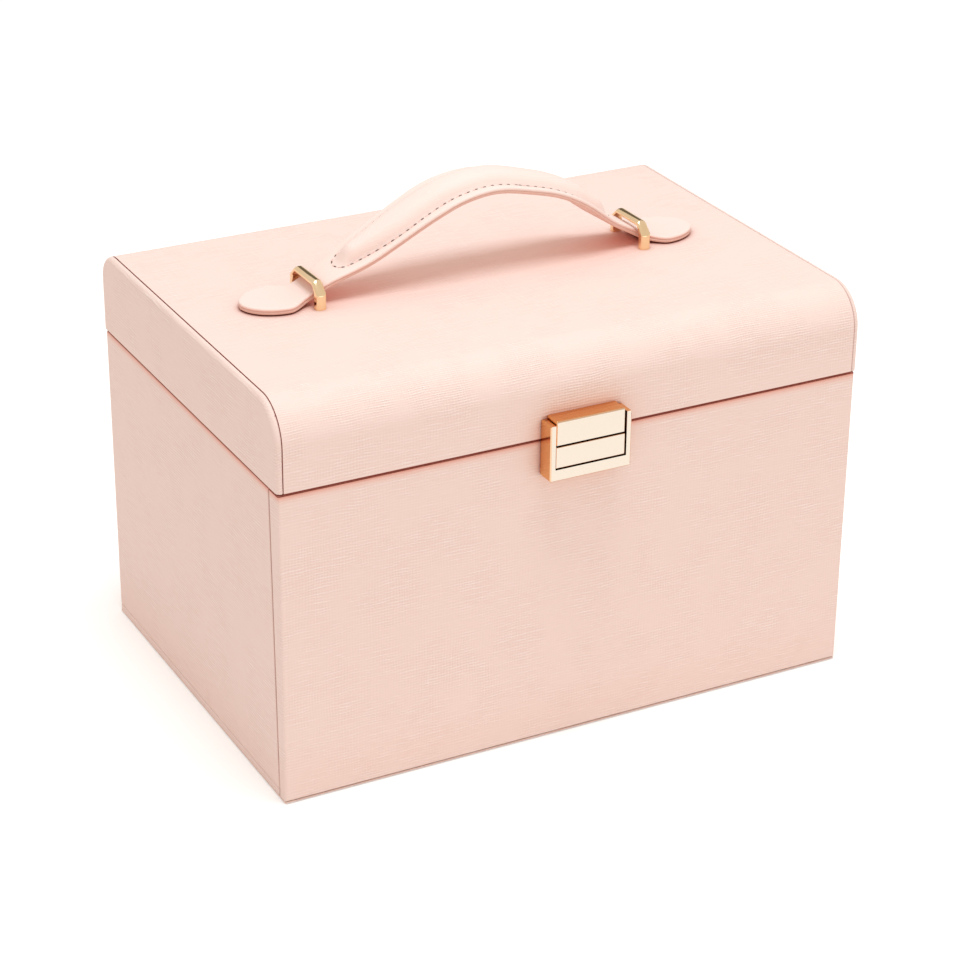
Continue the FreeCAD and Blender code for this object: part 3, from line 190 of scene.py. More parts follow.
class StageSettings(bpy.types.PropertyGroup):
    """Camera, lamps and floor."""

    camera_place: FloatVectorProperty(
        name="Camera",
        description="Place of the camera",
        subtype="TRANSLATION",
        unit="LENGTH",
        size=3,
        default=(-0.5037, -0.9617, 0.6041),
    )
    camera_turn: FloatProperty(name="Turn", description="To the right of +Y", subtype="ANGLE", default=0.48489)
    camera_tilt: FloatProperty(name="Tilt", description="Below the horizon", subtype="ANGLE", default=0.45321)
    camera_roll: FloatProperty(name="Roll", description="About the view", subtype="ANGLE", default=0.00893)
    lens: FloatProperty(name="Lens", description="Focal length in millimetres", default=105.65)
    room_colour: FloatVectorProperty(
        name="Room colour", description="Light from all round", subtype="COLOR", size=3, max=2, default=(1.06, 1.0, 0.95)
    )
    top_colour: FloatVectorProperty(
        name="Top colour", description="Light of the lamp above", subtype="COLOR", size=3, max=2, default=(0.82, 1.0, 1.08)
    )
    world_light: FloatProperty(name="Room", description="Light from all round", default=0.768)
    top_light: FloatProperty(name="Top lamp", description="Power of the lamp above", unit="POWER", default=7.15)
    front_light: FloatProperty(name="Front lamp", description="Power of the lamp in front", unit="POWER", default=0.1)
    low_light: FloatProperty(name="Low lamp", description="Power of the low lamp", unit="POWER", default=1.15)
    flag_shade: FloatProperty(name="Flag", description="Brightness of the dark card behind", default=0.16)
    floor_lift: FloatProperty(name="Floor lift", description="How much the floor is lifted to white", default=0.25)


def colours():
    return bpy.context.scene.box_colours


def sizes():
    return bpy.context.scene.box_sizes


def stage():
    return bpy.context.scene.box_stage


# Node trees.

def node(tree, kind, **settings):
    """A new node, with its properties set by name and its inputs by their names in inputs=."""
    made = tree.nodes.new(kind)
    inputs = settings.pop("inputs", {})
    for key, value in settings.items():
        setattr(made, key, value)
    for key, value in inputs.items():
        if hasattr(value, "links"):
            tree.links.new(value, made.inputs[key])
        else:
            made.inputs[key].default_value = value
    return made


def maths(tree, operation, *values):
    """The output of a Math node on sockets or numbers."""
    made = node(tree, "ShaderNodeMath", operation=operation)
    for number, value in enumerate(values):
        if hasattr(value, "links"):
            tree.links.new(value, made.inputs[number])
        else:
            made.inputs[number].default_value = value
    return made.outputs[0]


def group_with(name, inputs, outputs):
    """An empty shader group with float, colour and vector sockets."""
    tree = bpy.data.node_groups.new(name, "ShaderNodeTree")
    kinds = {"float": "NodeSocketFloat", "colour": "NodeSocketColor", "vector": "NodeSocketVector"}
    for label, kind, default in inputs:
        socket = tree.interface.new_socket(label, in_out="INPUT", socket_type=kinds[kind])
        socket.default_value = default
    for label, kind in outputs:
        tree.interface.new_socket(label, in_out="OUTPUT", socket_type=kinds[kind])
    return tree, node(tree, "NodeGroupInput").outputs, node(tree, "NodeGroupOutput").inputs


def linen_grain():
    """Crossed threads of uneven strength, laid flat on each side of the box, as height and as a share of painted
    highlight on the threads.
    """
    if "linen_grain" in bpy.data.node_groups:
        return bpy.data.node_groups["linen_grain"]
    tree, given, result = group_with(
        "linen_grain",
        [("Pitch", "float", 0.001), ("Unevenness", "float", 0.6)],
        [("Height", "float"), ("Thread highlight", "float"), ("Drift", "float")],
    )
    place = node(tree, "ShaderNodeTexCoord").outputs["Object"]
    x, y, z = node(tree, "ShaderNodeSeparateXYZ", inputs={0: place}).outputs
    normal = node(tree, "ShaderNodeTexCoord").outputs["Normal"]
    normal_x = node(tree, "ShaderNodeSeparateXYZ", inputs={0: normal}).outputs[0]
    on_side = maths(tree, "GREATER_THAN", maths(tree, "ABSOLUTE", normal_x), LEATHER_SIDES)
    over = maths(tree, "SUBTRACT", z, maths(tree, "ABSOLUTE", y))
    across = node(tree, "ShaderNodeMix", inputs={0: on_side, 2: x, 3: y}).outputs[0]
    along = node(tree, "ShaderNodeMix", inputs={0: on_side, 2: over, 3: z}).outputs[0]
    across = maths(tree, "DIVIDE", across, given["Pitch"])
    along = maths(tree, "DIVIDE", along, given["Pitch"])

    def threads(run, step, seed, stretch, low):
        """Threads that follow one way, each with stretches that stand out and fade."""
        wander = node(
            tree,
            "ShaderNodeTexNoise",
            inputs={
                "Vector": node(
                    tree,
                    "ShaderNodeCombineXYZ",
                    inputs={0: maths(tree, "MULTIPLY", run, 0.07), 1: maths(tree, "MULTIPLY", step, 0.12), 2: seed},
                ).outputs[0],
                "Scale": 1.0,
                "Detail": 1.0,
            },
        ).outputs[0]
        swing = maths(tree, "MULTIPLY", wander, 1.7)
        wave = maths(tree, "SINE", maths(tree, "MULTIPLY", maths(tree, "ADD", step, swing), math.tau))
        strength = node(
            tree,
            "ShaderNodeTexNoise",
            inputs={
                "Vector": node(
                    tree,
                    "ShaderNodeCombineXYZ",
                    inputs={0: maths(tree, "MULTIPLY", run, stretch), 1: maths(tree, "MULTIPLY", step, 1.0), 2: seed + 5},
                ).outputs[0],
                "Scale": 1.0,
                "Detail": 2.0,
            },
        ).outputs[0]
        strength = node(
            tree, "ShaderNodeMapRange", inputs={0: strength, 1: low, 2: low + 0.34, 3: 0.0, 4: 1.0}
        ).outputs[0]
        strength = node(
            tree, "ShaderNodeMix", inputs={0: given["Unevenness"], 2: 1.0, 3: strength}
        ).outputs[0]
        return maths(tree, "MULTIPLY", maths(tree, "MULTIPLY_ADD", wave, 0.5, 0.5), strength)

    patches = node(tree, "ShaderNodeTexNoise", inputs={"Vector": place, "Scale": 55.0, "Detail": 2.0}).outputs[0]
    pressed = node(tree, "ShaderNodeMapRange", inputs={0: patches, 1: 0.38, 2: 0.62, 3: 0.2, 4: 1.0}).outputs[0]


    def flattened(height):
        """The same threads, pressed flat in patches, at their mean height there."""
        above = maths(tree, "SUBTRACT", height, MEAN_THREAD)
        return maths(tree, "MULTIPLY_ADD", above, pressed, MEAN_THREAD)

    rows = flattened(threads(across, along, 1.0, 0.14, 0.36))
    columns = flattened(threads(along, across, 21.0, 0.16, 0.42))
    height = maths(tree, "ADD", maths(tree, "MULTIPLY", rows, 0.76), maths(tree, "MULTIPLY", columns, 0.24))
    crossing = maths(tree, "MULTIPLY", rows, columns)
    drift = node(tree, "ShaderNodeTexNoise", inputs={"Vector": place, "Scale": 9.0, "Detail": 2.0}).outputs[0]
    tree.links.new(height, result["Height"])
    # Painted highlight: lighter along the threads, and most where they cross.
    lit = maths(tree, "ADD", maths(tree, "MULTIPLY", rows, 0.5), maths(tree, "MULTIPLY", crossing, 0.5))
    tree.links.new(lit, result["Thread highlight"])
    tree.links.new(drift, result["Drift"])
    return tree


def nap():
    """Short brushed fibres: a fine height and broad brushed patches."""
    if "brushed_nap" in bpy.data.node_groups:
        return bpy.data.node_groups["brushed_nap"]
    tree, given, result = group_with(
        "brushed_nap", [("Fibre", "float", 2500.0)], [("Height", "float"), ("Patches", "float")]
    )
    place = node(tree, "ShaderNodeTexCoord").outputs["Object"]
    fine = node(
        tree, "ShaderNodeTexNoise", inputs={"Vector": place, "Scale": given["Fibre"], "Detail": 3.0}
    ).outputs[0]
    broad = node(
        tree, "ShaderNodeTexNoise", inputs={"Vector": place, "Scale": 45.0, "Detail": 3.0, "Distortion": 0.6}
    ).outputs[0]
    patches = node(tree, "ShaderNodeMapRange", inputs={0: broad, 1: 0.35, 2: 0.7, 3: 0.0, 4: 1.0}).outputs[0]
    tree.links.new(fine, result["Height"])
    tree.links.new(patches, result["Patches"])
    return tree


def fine_wear():
    """Faint smudges and hairlines for polished metal, and a share for faces that look to the front, where gold takes a
    paler painted reflection.
    """
    if "fine_wear" in bpy.data.node_groups:
        return bpy.data.node_groups["fine_wear"]
    tree, given, result = group_with("fine_wear", [("Scale", "float", 60.0)], [("Smudge", "float"), ("Front", "float")])
    place = node(tree, "ShaderNodeTexCoord").outputs["Object"]
    smudge = node(
        tree, "ShaderNodeTexNoise", inputs={"Vector": place, "Scale": given["Scale"], "Detail": 4.0}
    ).outputs[0]
    normal = node(tree, "ShaderNodeTexCoord").outputs["Normal"]
    faces = node(tree, "ShaderNodeSeparateXYZ", inputs={0: normal}).outputs
    # Faces that look to the front take the paler painted reflection.
    front = maths(tree, "MULTIPLY", faces[1], -1.0)
    front = node(tree, "ShaderNodeMapRange", inputs={0: front, 1: 0.5, 2: 0.95, 3: 0.0, 4: 1.0}).outputs[0]
    tree.links.new(smudge, result["Smudge"])
    tree.links.new(front, result["Front"])
    return tree


def crevice():
    """How deep a place lies in a seam or a corner, from 0 in the open to 1; the leatherette is darkened by it as
    painted shade.
    """
    if "crevice" in bpy.data.node_groups:
        return bpy.data.node_groups["crevice"]
    tree, given, result = group_with("crevice", [("Reach", "float", 0.003), ("Power", "float", 1.5)], [("Depth", "float")])
    open_share = node(
        tree, "ShaderNodeAmbientOcclusion", samples=8, inputs={"Distance": given["Reach"]}
    ).outputs["AO"]
    depth = maths(tree, "SUBTRACT", 1.0, open_share)
    tree.links.new(maths(tree, "POWER", depth, given["Power"]), result["Depth"])
    return tree


def seam_paint():
    """A painted shade line along the seam of the lid, painted shade under it, and 1 away from the floor."""
    if "seam_paint" in bpy.data.node_groups:
        return bpy.data.node_groups["seam_paint"]
    tree, given, result = group_with(
        "seam_paint",
        [("Seam", "float", 0.136), ("Half", "float", 0.0007), ("Glow", "float", 0.004)],
        [("Line", "float"), ("Glow", "float"), ("Off floor", "float")],
    )
    place = node(tree, "ShaderNodeTexCoord").outputs["Object"]
    z = node(tree, "ShaderNodeSeparateXYZ", inputs={0: place}).outputs[2]
    normal = node(tree, "ShaderNodeTexCoord").outputs["Normal"]
    normal_z = maths(tree, "ABSOLUTE", node(tree, "ShaderNodeSeparateXYZ", inputs={0: normal}).outputs[2])
    upright = node(tree, "ShaderNodeMapRange", inputs={0: normal_z, 1: 0.8, 2: 0.97, 3: 1.0, 4: 0.0}).outputs[0]
    above = maths(tree, "SUBTRACT", z, given["Seam"])
    share = maths(tree, "DIVIDE", maths(tree, "ABSOLUTE", above), given["Half"])
    line = node(tree, "ShaderNodeMapRange", inputs={0: share, 1: 0.8, 2: 1.25, 3: 1.0, 4: 0.0}).outputs[0]
    below = maths(tree, "DIVIDE", maths(tree, "MULTIPLY", above, -1.0), given["Glow"])
    under = maths(tree, "GREATER_THAN", below, 0.0)
    glow = node(tree, "ShaderNodeMapRange", inputs={0: below, 1: 0.0, 2: 1.0, 3: 1.0, 4: 0.0}).outputs[0]
    glow = maths(tree, "MULTIPLY", maths(tree, "MULTIPLY", glow, glow), under)
    off_floor = node(tree, "ShaderNodeMapRange", inputs={0: z, 1: 0.002, 2: 0.02, 3: 0.0, 4: 1.0}).outputs[0]
    tree.links.new(maths(tree, "MULTIPLY", line, upright), result["Line"])
    tree.links.new(maths(tree, "MULTIPLY", glow, upright), result["Glow"])
    tree.links.new(off_floor, result["Off floor"])
    return tree


def new_material(name):
    """An empty material, its tree and its Principled shader."""
    made = bpy.data.materials.new(name)
    made.use_nodes = True
    tree = made.node_tree
    shader = tree.nodes["Principled BSDF"]
    return made, tree, shader


def use_group(tree, group, **inputs):
    made = node(tree, "ShaderNodeGroup", node_tree=group)
    for key, value in inputs.items():
        made.inputs[key].default_value = value
    return made.outputs


def mixed(tree, share, first, second):
    """A colour between two, by a share."""
    made = node(tree, "ShaderNodeMix", data_type="RGBA")
    for socket, value in ((made.inputs[0], share), (made.inputs[6], first), (made.inputs[7], second)):
        if hasattr(value, "links"):
            tree.links.new(value, socket)
        elif isinstance(value, float):
            socket.default_value = value
        else:
            socket.default_value = (*value, 1)
    return made.outputs[2]


def raise_bump(tree, shader, height, distance, strength=1.0):
    bump = node(tree, "ShaderNodeBump", inputs={"Strength": strength, "Distance": distance, "Height": height})
    tree.links.new(bump.outputs[0], shader.inputs["Normal"])


CROWN_STEPS = 12  # facets across the crown of a loop
MEAN_THREAD = 0.3  # mean height of the threads of the grain


def cached(maker):
    """Each material is made once."""
    def get():
        name = maker.__name__
        if name in bpy.data.materials:
            return bpy.data.materials[name]
        return maker(name)
    return get


def leather_like(name, depth_share, unevenness, reach=26 * MM, power=1.6):
    made, tree, shader = new_material(name)
    grain = use_group(tree, linen_grain(), Pitch=sizes().grain_pitch, Unevenness=unevenness)
    # Painted highlight on the raised threads of the grain.
    highlight_share = maths(tree, "MULTIPLY", grain["Thread highlight"], 0.95 * depth_share)
    # Painted shade in the hollows of the grain, darker where the threads lie low.
    hollow_shade = maths(tree, "MULTIPLY", maths(tree, "SUBTRACT", 1.0, grain["Height"]), 0.45 * depth_share)
    thread = mixed(tree, highlight_share, colours().leather, colours().leather_light)
    base = mixed(tree, hollow_shade, thread, colours().leather_deep)
    drifted = mixed(tree, maths(tree, "MULTIPLY", grain["Drift"], 0.12), base, colours().leather_deep)
    edge = use_group(tree, seam_paint(), Seam=sizes().seam_height, Half=sizes().seam_line, Glow=sizes().seam_glow)
    # Painted shade deep in seams and corners, by how enclosed a place is.
    seam = use_group(tree, crevice(), Reach=3.0 * MM, Power=1.8)["Depth"]
    seam = maths(tree, "MULTIPLY", seam, edge["Off floor"])
    # Painted near shade: warm shade where other leatherette is close by, and under the lid seam.
    near = use_group(tree, crevice(), Reach=reach, Power=power)["Depth"]
    near = maths(tree, "MULTIPLY", maths(tree, "MULTIPLY", near, edge["Off floor"]), 0.75)
    near_shaded = mixed(tree, maths(tree, "MAXIMUM", near, edge["Glow"]), drifted, colours().near_shade)
    # Painted shade line along the lid seam, laid over the painted crevice shade.
    shaded = mixed(tree, maths(tree, "MAXIMUM", seam, edge["Line"]), near_shaded, colours().seam_shade)
    tree.links.new(shaded, shader.inputs["Base Color"])
    rough = node(tree, "ShaderNodeMapRange", inputs={0: grain["Height"], 3: 0.62, 4: 0.5}).outputs[0]
    tree.links.new(rough, shader.inputs["Roughness"])
    open_share = maths(tree, "SUBTRACT", 1.0, maths(tree, "MAXIMUM", seam, edge["Line"]))
    tree.links.new(maths(tree, "MULTIPLY", open_share, 0.35), shader.inputs["Specular IOR Level"])
    raise_bump(tree, shader, grain["Height"], sizes().grain_depth * depth_share)
    return made


@cached
def leatherette(name):
    return leather_like(name, 1.0, 0.75)


# Its wide reach paints the near shade under the strap, as the strap's shadow on the lid.
@cached
def lid_leatherette(name):
    return leather_like(name, 1.0, 0.75, reach=42 * MM, power=1.4)


@cached
def leatherette_smooth(name):
    return leather_like(name, 0.35, 0.85)


@cached
def painted_edge(name):
    made, tree, shader = new_material(name)
    place = node(tree, "ShaderNodeTexCoord").outputs["Object"]
    ripple = node(tree, "ShaderNodeTexNoise", inputs={"Vector": place, "Scale": 900.0, "Detail": 2.0}).outputs[0]
    tree.links.new(mixed(tree, ripple, colours().edge_paint, colours().leather_deep), shader.inputs["Base Color"])
    shader.inputs["Roughness"].default_value = 0.38
    raise_bump(tree, shader, ripple, 0.03 * MM)
    return made


# Dark end faces of the lid cover: painted shade in the seam with the side panels.
@cached
def cut_edge(name):
    made, tree, shader = new_material(name)
    place = node(tree, "ShaderNodeTexCoord").outputs["Object"]
    ripple = node(tree, "ShaderNodeTexNoise", inputs={"Vector": place, "Scale": 700.0, "Detail": 2.0}).outputs[0]
    tree.links.new(
        mixed(tree, maths(tree, "MULTIPLY", ripple, 0.4), colours().seam_shade, colours().edge_paint),
        shader.inputs["Base Color"],
    )
    shader.inputs["Roughness"].default_value = 0.6
    return made


def suede_like(name, light, deep):
    made, tree, shader = new_material(name)
    fibres = use_group(tree, nap(), Fibre=2600.0)
    tree.links.new(mixed(tree, maths(tree, "MULTIPLY", fibres["Patches"], 0.55), light, deep), shader.inputs["Base Color"])
    shader.inputs["Roughness"].default_value = 0.92
    shader.inputs["Specular IOR Level"].default_value = 0.15
    shader.inputs["Sheen Weight"].default_value = 0.35
    shader.inputs["Sheen Roughness"].default_value = 0.5
    raise_bump(tree, shader, fibres["Height"], 0.12 * MM)
    return made


@cached
def suede(name):
    return suede_like(name, colours().suede, colours().suede_deep)


@cached
def roll_suede(name):
    return suede_like(name, colours().cushion, colours().suede)


@cached
def polished_gold(name):
    made, tree, shader = new_material(name)
    wear = use_group(tree, fine_wear(), Scale=70.0)
    # Painted reflection: paler gold on faces that look to the front, coppery gold on the others.
    tree.links.new(mixed(tree, wear["Front"], colours().gold_side, colours().gold_face), shader.inputs["Base Color"])
    shader.inputs["Metallic"].default_value = 1.0
    rough = node(tree, "ShaderNodeMapRange", inputs={0: wear["Smudge"], 3: 0.1, 4: 0.2}).outputs[0]
    tree.links.new(rough, shader.inputs["Roughness"])
    return made


@cached
def loop_gold(name):
    made, tree, shader = new_material(name)
    wear = use_group(tree, fine_wear(), Scale=90.0)
    tree.links.new(mixed(tree, wear["Smudge"], colours().loop_face, colours().loop_worn), shader.inputs["Base Color"])
    shader.inputs["Metallic"].default_value = 1.0
    rough = node(tree, "ShaderNodeMapRange", inputs={0: wear["Smudge"], 3: 0.05, 4: 0.13}).outputs[0]
    tree.links.new(rough, shader.inputs["Roughness"])
    return made


@cached
def bright_steel(name):
    made, tree, shader = new_material(name)
    wear = use_group(tree, fine_wear(), Scale=120.0)
    tree.links.new(mixed(tree, wear["Smudge"], colours().steel, colours().mirror), shader.inputs["Base Color"])
    shader.inputs["Metallic"].default_value = 1.0
    shader.inputs["Roughness"].default_value = 0.28
    return made


@cached
def silvered_glass(name):
    made, tree, shader = new_material(name)
    wear = use_group(tree, fine_wear(), Scale=15.0)
    tree.links.new(mixed(tree, maths(tree, "MULTIPLY", wear["Smudge"], 0.1), colours().mirror, colours().steel), shader.inputs["Base Color"])
    shader.inputs["Metallic"].default_value = 1.0
    shader.inputs["Roughness"].default_value = 0.02
    shader.inputs["Coat Weight"].default_value = 1.0
    shader.inputs["Coat Roughness"].default_value = 0.01
    return made


@cached
def sewing_thread(name):
    made, tree, shader = new_material(name)
    place = node(tree, "ShaderNodeTexCoord").outputs["Object"]
    lay = node(tree, "ShaderNodeTexNoise", inputs={"Vector": place, "Scale": 3000.0}).outputs[0]
    tree.links.new(mixed(tree, lay, colours().thread, colours().leather_deep), shader.inputs["Base Color"])
    shader.inputs["Roughness"].default_value = 0.6
    return made


# Dark dots of painted shade in the needle holes.
@cached
def dark_hole(name):
    made, tree, shader = new_material(name)
    place = node(tree, "ShaderNodeTexCoord").outputs["Object"]
    depth = node(tree, "ShaderNodeTexNoise", inputs={"Vector": place, "Scale": 1500.0}).outputs[0]
    tree.links.new(mixed(tree, maths(tree, "MULTIPLY", depth, 0.3), colours().needle_hole, colours().edge_paint), shader.inputs["Base Color"])
    shader.inputs["Roughness"].default_value = 0.9
    return made


# Meshes.

def finished(name, mesh, materials, body):
    """An object of the box with its materials, which rides on a body when one is given."""
    made = bpy.data.objects.new(name, mesh)
    bpy.context.scene.collection.objects.link(made)
    for material in materials:
        mesh.materials.append(material)
    if body:
        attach(made, body)
    return made


def body_with(cad_node):
    return frame["nodes"][cad_node]["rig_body"]


def dressed(cad_node, suffix, material, edge, steps=3, sharp=28.0, reshape=None, paint=None):
    """A copy of a solid with its edges rounded, which stands for it."""
    bm = bmesh.new()
    bm.from_mesh(frame["nodes"][cad_node].data)
    bmesh.ops.remove_doubles(bm, verts=bm.verts, dist=2e-6)
    bmesh.ops.dissolve_limit(bm, angle_limit=math.radians(0.8), verts=bm.verts, edges=bm.edges)
    if reshape:
        reshape(bm)
    edges = [e for e in bm.edges if e.is_manifold and e.calc_face_angle(0) > math.radians(sharp)]
    bmesh.ops.bevel(
        bm, geom=edges, offset=edge, segments=steps, profile=0.5, affect="EDGES", clamp_overlap=True
    )
    for face in bm.faces:
        face.smooth = True
    materials = [material]
    if paint:
        materials.append(paint(bm))
    name = "%s_%s" % (cad_node, suffix)
    mesh = bpy.data.meshes.new(name)
    bm.to_mesh(mesh)
    bm.free()
    made = finished(name, mesh, materials, body_with(cad_node))
    weighted = made.modifiers.new("even_normals", "WEIGHTED_NORMAL")
    weighted.weight = 80
    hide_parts(cad_node)
    return made


def turned_softly(points, reach, steps=4):
    """An open line with a short curve at each of its corners."""
    line = [points[0]]
    for before, corner, after in zip(points, points[1:], points[2:]):
        start = corner + (before - corner).normalized() * reach
        end = corner + (after - corner).normalized() * reach
        for k in range(steps + 1):
            share = k / steps
            line.append(start.lerp(corner, share).lerp(corner.lerp(end, share), share))
    return line + [points[-1]]


def loop_line(low, high, cut):
    """The line up one leg, across the bar and down the other leg, with its corners cut."""
    half = [Vector((0, low.y, low.z)), Vector((0, low.y, high.z - cut)), Vector((0, low.y + cut, high.z))]
    other = [Vector((0, high.y + low.y - p.y, p.z)) for p in reversed(half)]
    return turned_softly(half + other, sizes().loop_turn)


def loop_mesh(name, cad_node):
    """A bridge over the strap, crowned on its outer side and flat inside."""
    given = sizes()
    low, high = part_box(cad_node)
    middle = (low.x + high.x) / 2
    half_strip = (high.x - low.x) / 2
    outside = loop_line(low, high, given.loop_corner)
    shrink = Vector((0, given.loop_leg, 0))
    inside = loop_line(low + shrink, high - shrink - Vector((0, 0, given.loop_bar)), given.loop_inner_corner)
    bm = bmesh.new()
    rings = []
    for outer, inner in zip(outside, inside):
        thick = (outer - inner).length
        away = (outer - inner) / thick
        section = [(half_strip, given.loop_edge), (half_strip - given.loop_edge, 0)]
        section += [(given.loop_edge - half_strip, 0), (-half_strip, given.loop_edge)]
        for k in range(CROWN_STEPS + 1):
            angle = math.pi * (k / CROWN_STEPS - 0.5)
            crown = thick - given.loop_crown * (1 - math.cos(angle))
            section.append((half_strip * math.sin(angle), crown))
        rings.append([bm.verts.new(inner + away * up + Vector((middle + across, 0, 0))) for across, up in section])
    for a, b in zip(rings, rings[1:]):
        for k in range(len(a)):
            following = (k + 1) % len(a)
            bm.faces.new((a[k], a[following], b[following], b[k])).smooth = True
    for cap in (bm.faces.new(rings[0]), bm.faces.new(list(reversed(rings[-1])))):
        for edge in cap.edges:
            edge.smooth = False
    for ring_a, ring_b in zip(rings, rings[1:]):
        for k in range(4):
            bm.edges.get((ring_a[k], ring_b[k])).smooth = False
    bmesh.ops.recalc_face_normals(bm, faces=bm.faces)
    mesh = bpy.data.meshes.new(name)
    bm.to_mesh(mesh)
    bm.free()
    return mesh


def dress_all(cad_nodes, suffix, material, edge, steps=3):
    for cad_node in cad_nodes:
        dressed(cad_node, suffix, material, edge, steps)


# Strap. Its line runs from the tip of the left tab, through both loops, to the tip of the right tab.

class StrapLine:
    """Middle line of the strap as a curve in the XZ plane, by the distance along it."""

    def __init__(self):
        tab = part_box("handle_left_tab")
        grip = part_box("handle_grip")
        self.y = (grip[0].y + grip[1].y) / 2 + sizes().strap_back
        self.half_thick = STRAP_HALF_THICK
        flat = tab[0].z + self.half_thick
        right_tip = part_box("handle_right_tab")[1].x
        loop_left, loop_right = joint_place("left_tab_fold"), joint_place("right_tab_fold")
        arm_left, arm_right = joint_place("left_arm_fold"), joint_place("right_arm_fold")
        run = (loop_left.z - flat) / math.tan(NECK_SLOPE)
        points = [Vector((tab[0].x, 0, flat)), Vector((loop_left.x - run, 0, flat)), loop_left]
        points += [loop_left.lerp(arm_left, k / 30) for k in range(1, 31)]
        points += self.arch(loop_left, arm_left, arm_right)
        points += [arm_right.lerp(loop_right, k / 30) for k in range(30)]
        points += [loop_right, Vector((loop_right.x + run, 0, flat)), Vector((right_tip, 0, flat))]
        self.left, self.right = loop_left.x, loop_right.x
        self.points = self.smooth(self.even([Vector((p.x, 0, p.z + self.settling(p.x))) for p in points]))
        self.total = STEP * (len(self.points) - 1)
        self.loops = [self.nearest(loop_left), self.nearest(loop_right)]
        self.arms = [self.nearest(arm_left), self.nearest(arm_right)]

    def settling(self, x):
        """How far the leather lies above the bare line of the joints: full on the left, slack on the right."""
        if not self.left < x < self.right:
            return 0.0
        full = math.exp(-(((x - FULL_AT) / FULL_REACH) ** 2)) * min(1.0, (x - self.left) / FULL_REACH)
        slack = eased((x - SLACK_FROM) / SLACK_REACH) * eased((self.right - x) / (0.5 * SLACK_REACH))
        return sizes().slack_left * full - sizes().slack_right * slack

    def turn(self, x):
        """How far the strap is turned about its own line there."""
        inside = min(x - self.left, self.right - x)
        if inside <= 0:
            return 0.0
        return (sizes().lean - sizes().twist * x / self.right) * eased(inside / SLACK_REACH)

    def arch(self, loop, start, end):
        """Points of the grip's arc between its two ends."""
        along = (start - loop).normalized()
        centre = start + Vector((along.z, 0, -along.x)) * sizes().arch_radius
        first = math.atan2(start.z - centre.z, start.x - centre.x)
        last = math.atan2(end.z - centre.z, end.x - centre.x)
        steps = 60
        made = []
        for number in range(1, steps):
            angle = first + (last - first) * number / steps
            made.append(centre + Vector((math.cos(angle), 0, math.sin(angle))) * sizes().arch_radius)
        return made

    def even(self, points):
        """The line through the points, with points at even steps."""
        made = [points[0]]
        spare = 0.0
        for a, b in zip(points, points[1:]):
            run = (b - a).length
            place = STEP - spare
            while place <= run:
                made.append(a.lerp(b, place / run))
                place += STEP
            spare = (spare + run) % STEP
        return made

    def smooth(self, points):
        """Rounds the corners, and leaves the flat ends as they are."""
        reach = max(1, int(sizes().bend_smooth / STEP))
        rounds = 3
        for _ in range(rounds):
            padded = [points[0]] * reach + points + [points[-1]] * reach
            smoothed = []
            for number in range(len(points)):
                window = padded[number:number + 2 * reach + 1]
                smoothed.append(sum(window, Vector()) / len(window))
            for number in range(reach * rounds):
                smoothed[number] = points[number]
                smoothed[-1 - number] = points[-1 - number]
            points = smoothed
        return points

    def nearest(self, place):
        flat = Vector((place.x, 0, place.z))
        best = min(range(len(self.points)), key=lambda number: (self.points[number] - flat).length)
        return best * STEP

    def at(self, distance):
        """Point and tangent at a distance along the line."""
        share = max(0.0, min(distance / STEP, len(self.points) - 1.001))
        number = int(share)
        a, b = self.points[number], self.points[number + 1]
        before = self.points[max(0, number - 1)]
        after = self.points[min(len(self.points) - 1, number + 2)]
        tangent = (b - before).lerp(after - a, share - number).normalized()
        beyond = distance - max(0.0, min(distance, self.total))
        return a.lerp(b, share - number) + tangent * beyond, tangent

    def place(self, distance, across, lift):
        """A point beside and above the middle line."""
        point, tangent = self.at(distance)
        up = Vector((-tangent.z, 0, tangent.x))
        turn = self.turn(point.x)
        sideways = across * math.cos(turn) - lift * math.sin(turn)
        upwards = across * math.sin(turn) + lift * math.cos(turn)
        return Vector((point.x + up.x * upwards, self.y + sideways, point.z + up.z * upwards))


STEP = 0.5 * MM
STRAP_HALF_THICK = 1.4 * MM
NECK_SLOPE = math.radians(30)
GRIP_HALF = 12.0 * MM
NECK_HALF = 8.4 * MM
TAB_HALF = 12.9 * MM
NECK_STRAIGHT = 7.4 * MM
TAB_ROUND = 16.5 * MM
TAB_POWER = 1.9
FULL_AT = -23 * MM
FULL_REACH = 20 * MM
SLACK_FROM = 1 * MM
SLACK_REACH = 24 * MM
# Edge of the strap from its top to its underside: how far in from the outline, and how high.
STRAP_EDGE = tuple(
    (inset * MM, lift * MM)
    for inset, lift in (
        (0.9, 1.4), (0.42, 1.3), (0.12, 1.05), (0.0, 0.6), (0.1, 0.25), (0.34, 0.1),
        (0.34, -0.1), (0.08, -0.28), (0.0, -0.6), (0.14, -1.1), (0.45, -1.32), (0.9, -1.4),
    )
)
PAD_POINTS = 30


def joint_place(name):
    return Vector(JOINTS[name]["pos_m"])


def eased(share):
    share = max(0.0, min(1.0, share))
    return share * share * (3 - 2 * share)


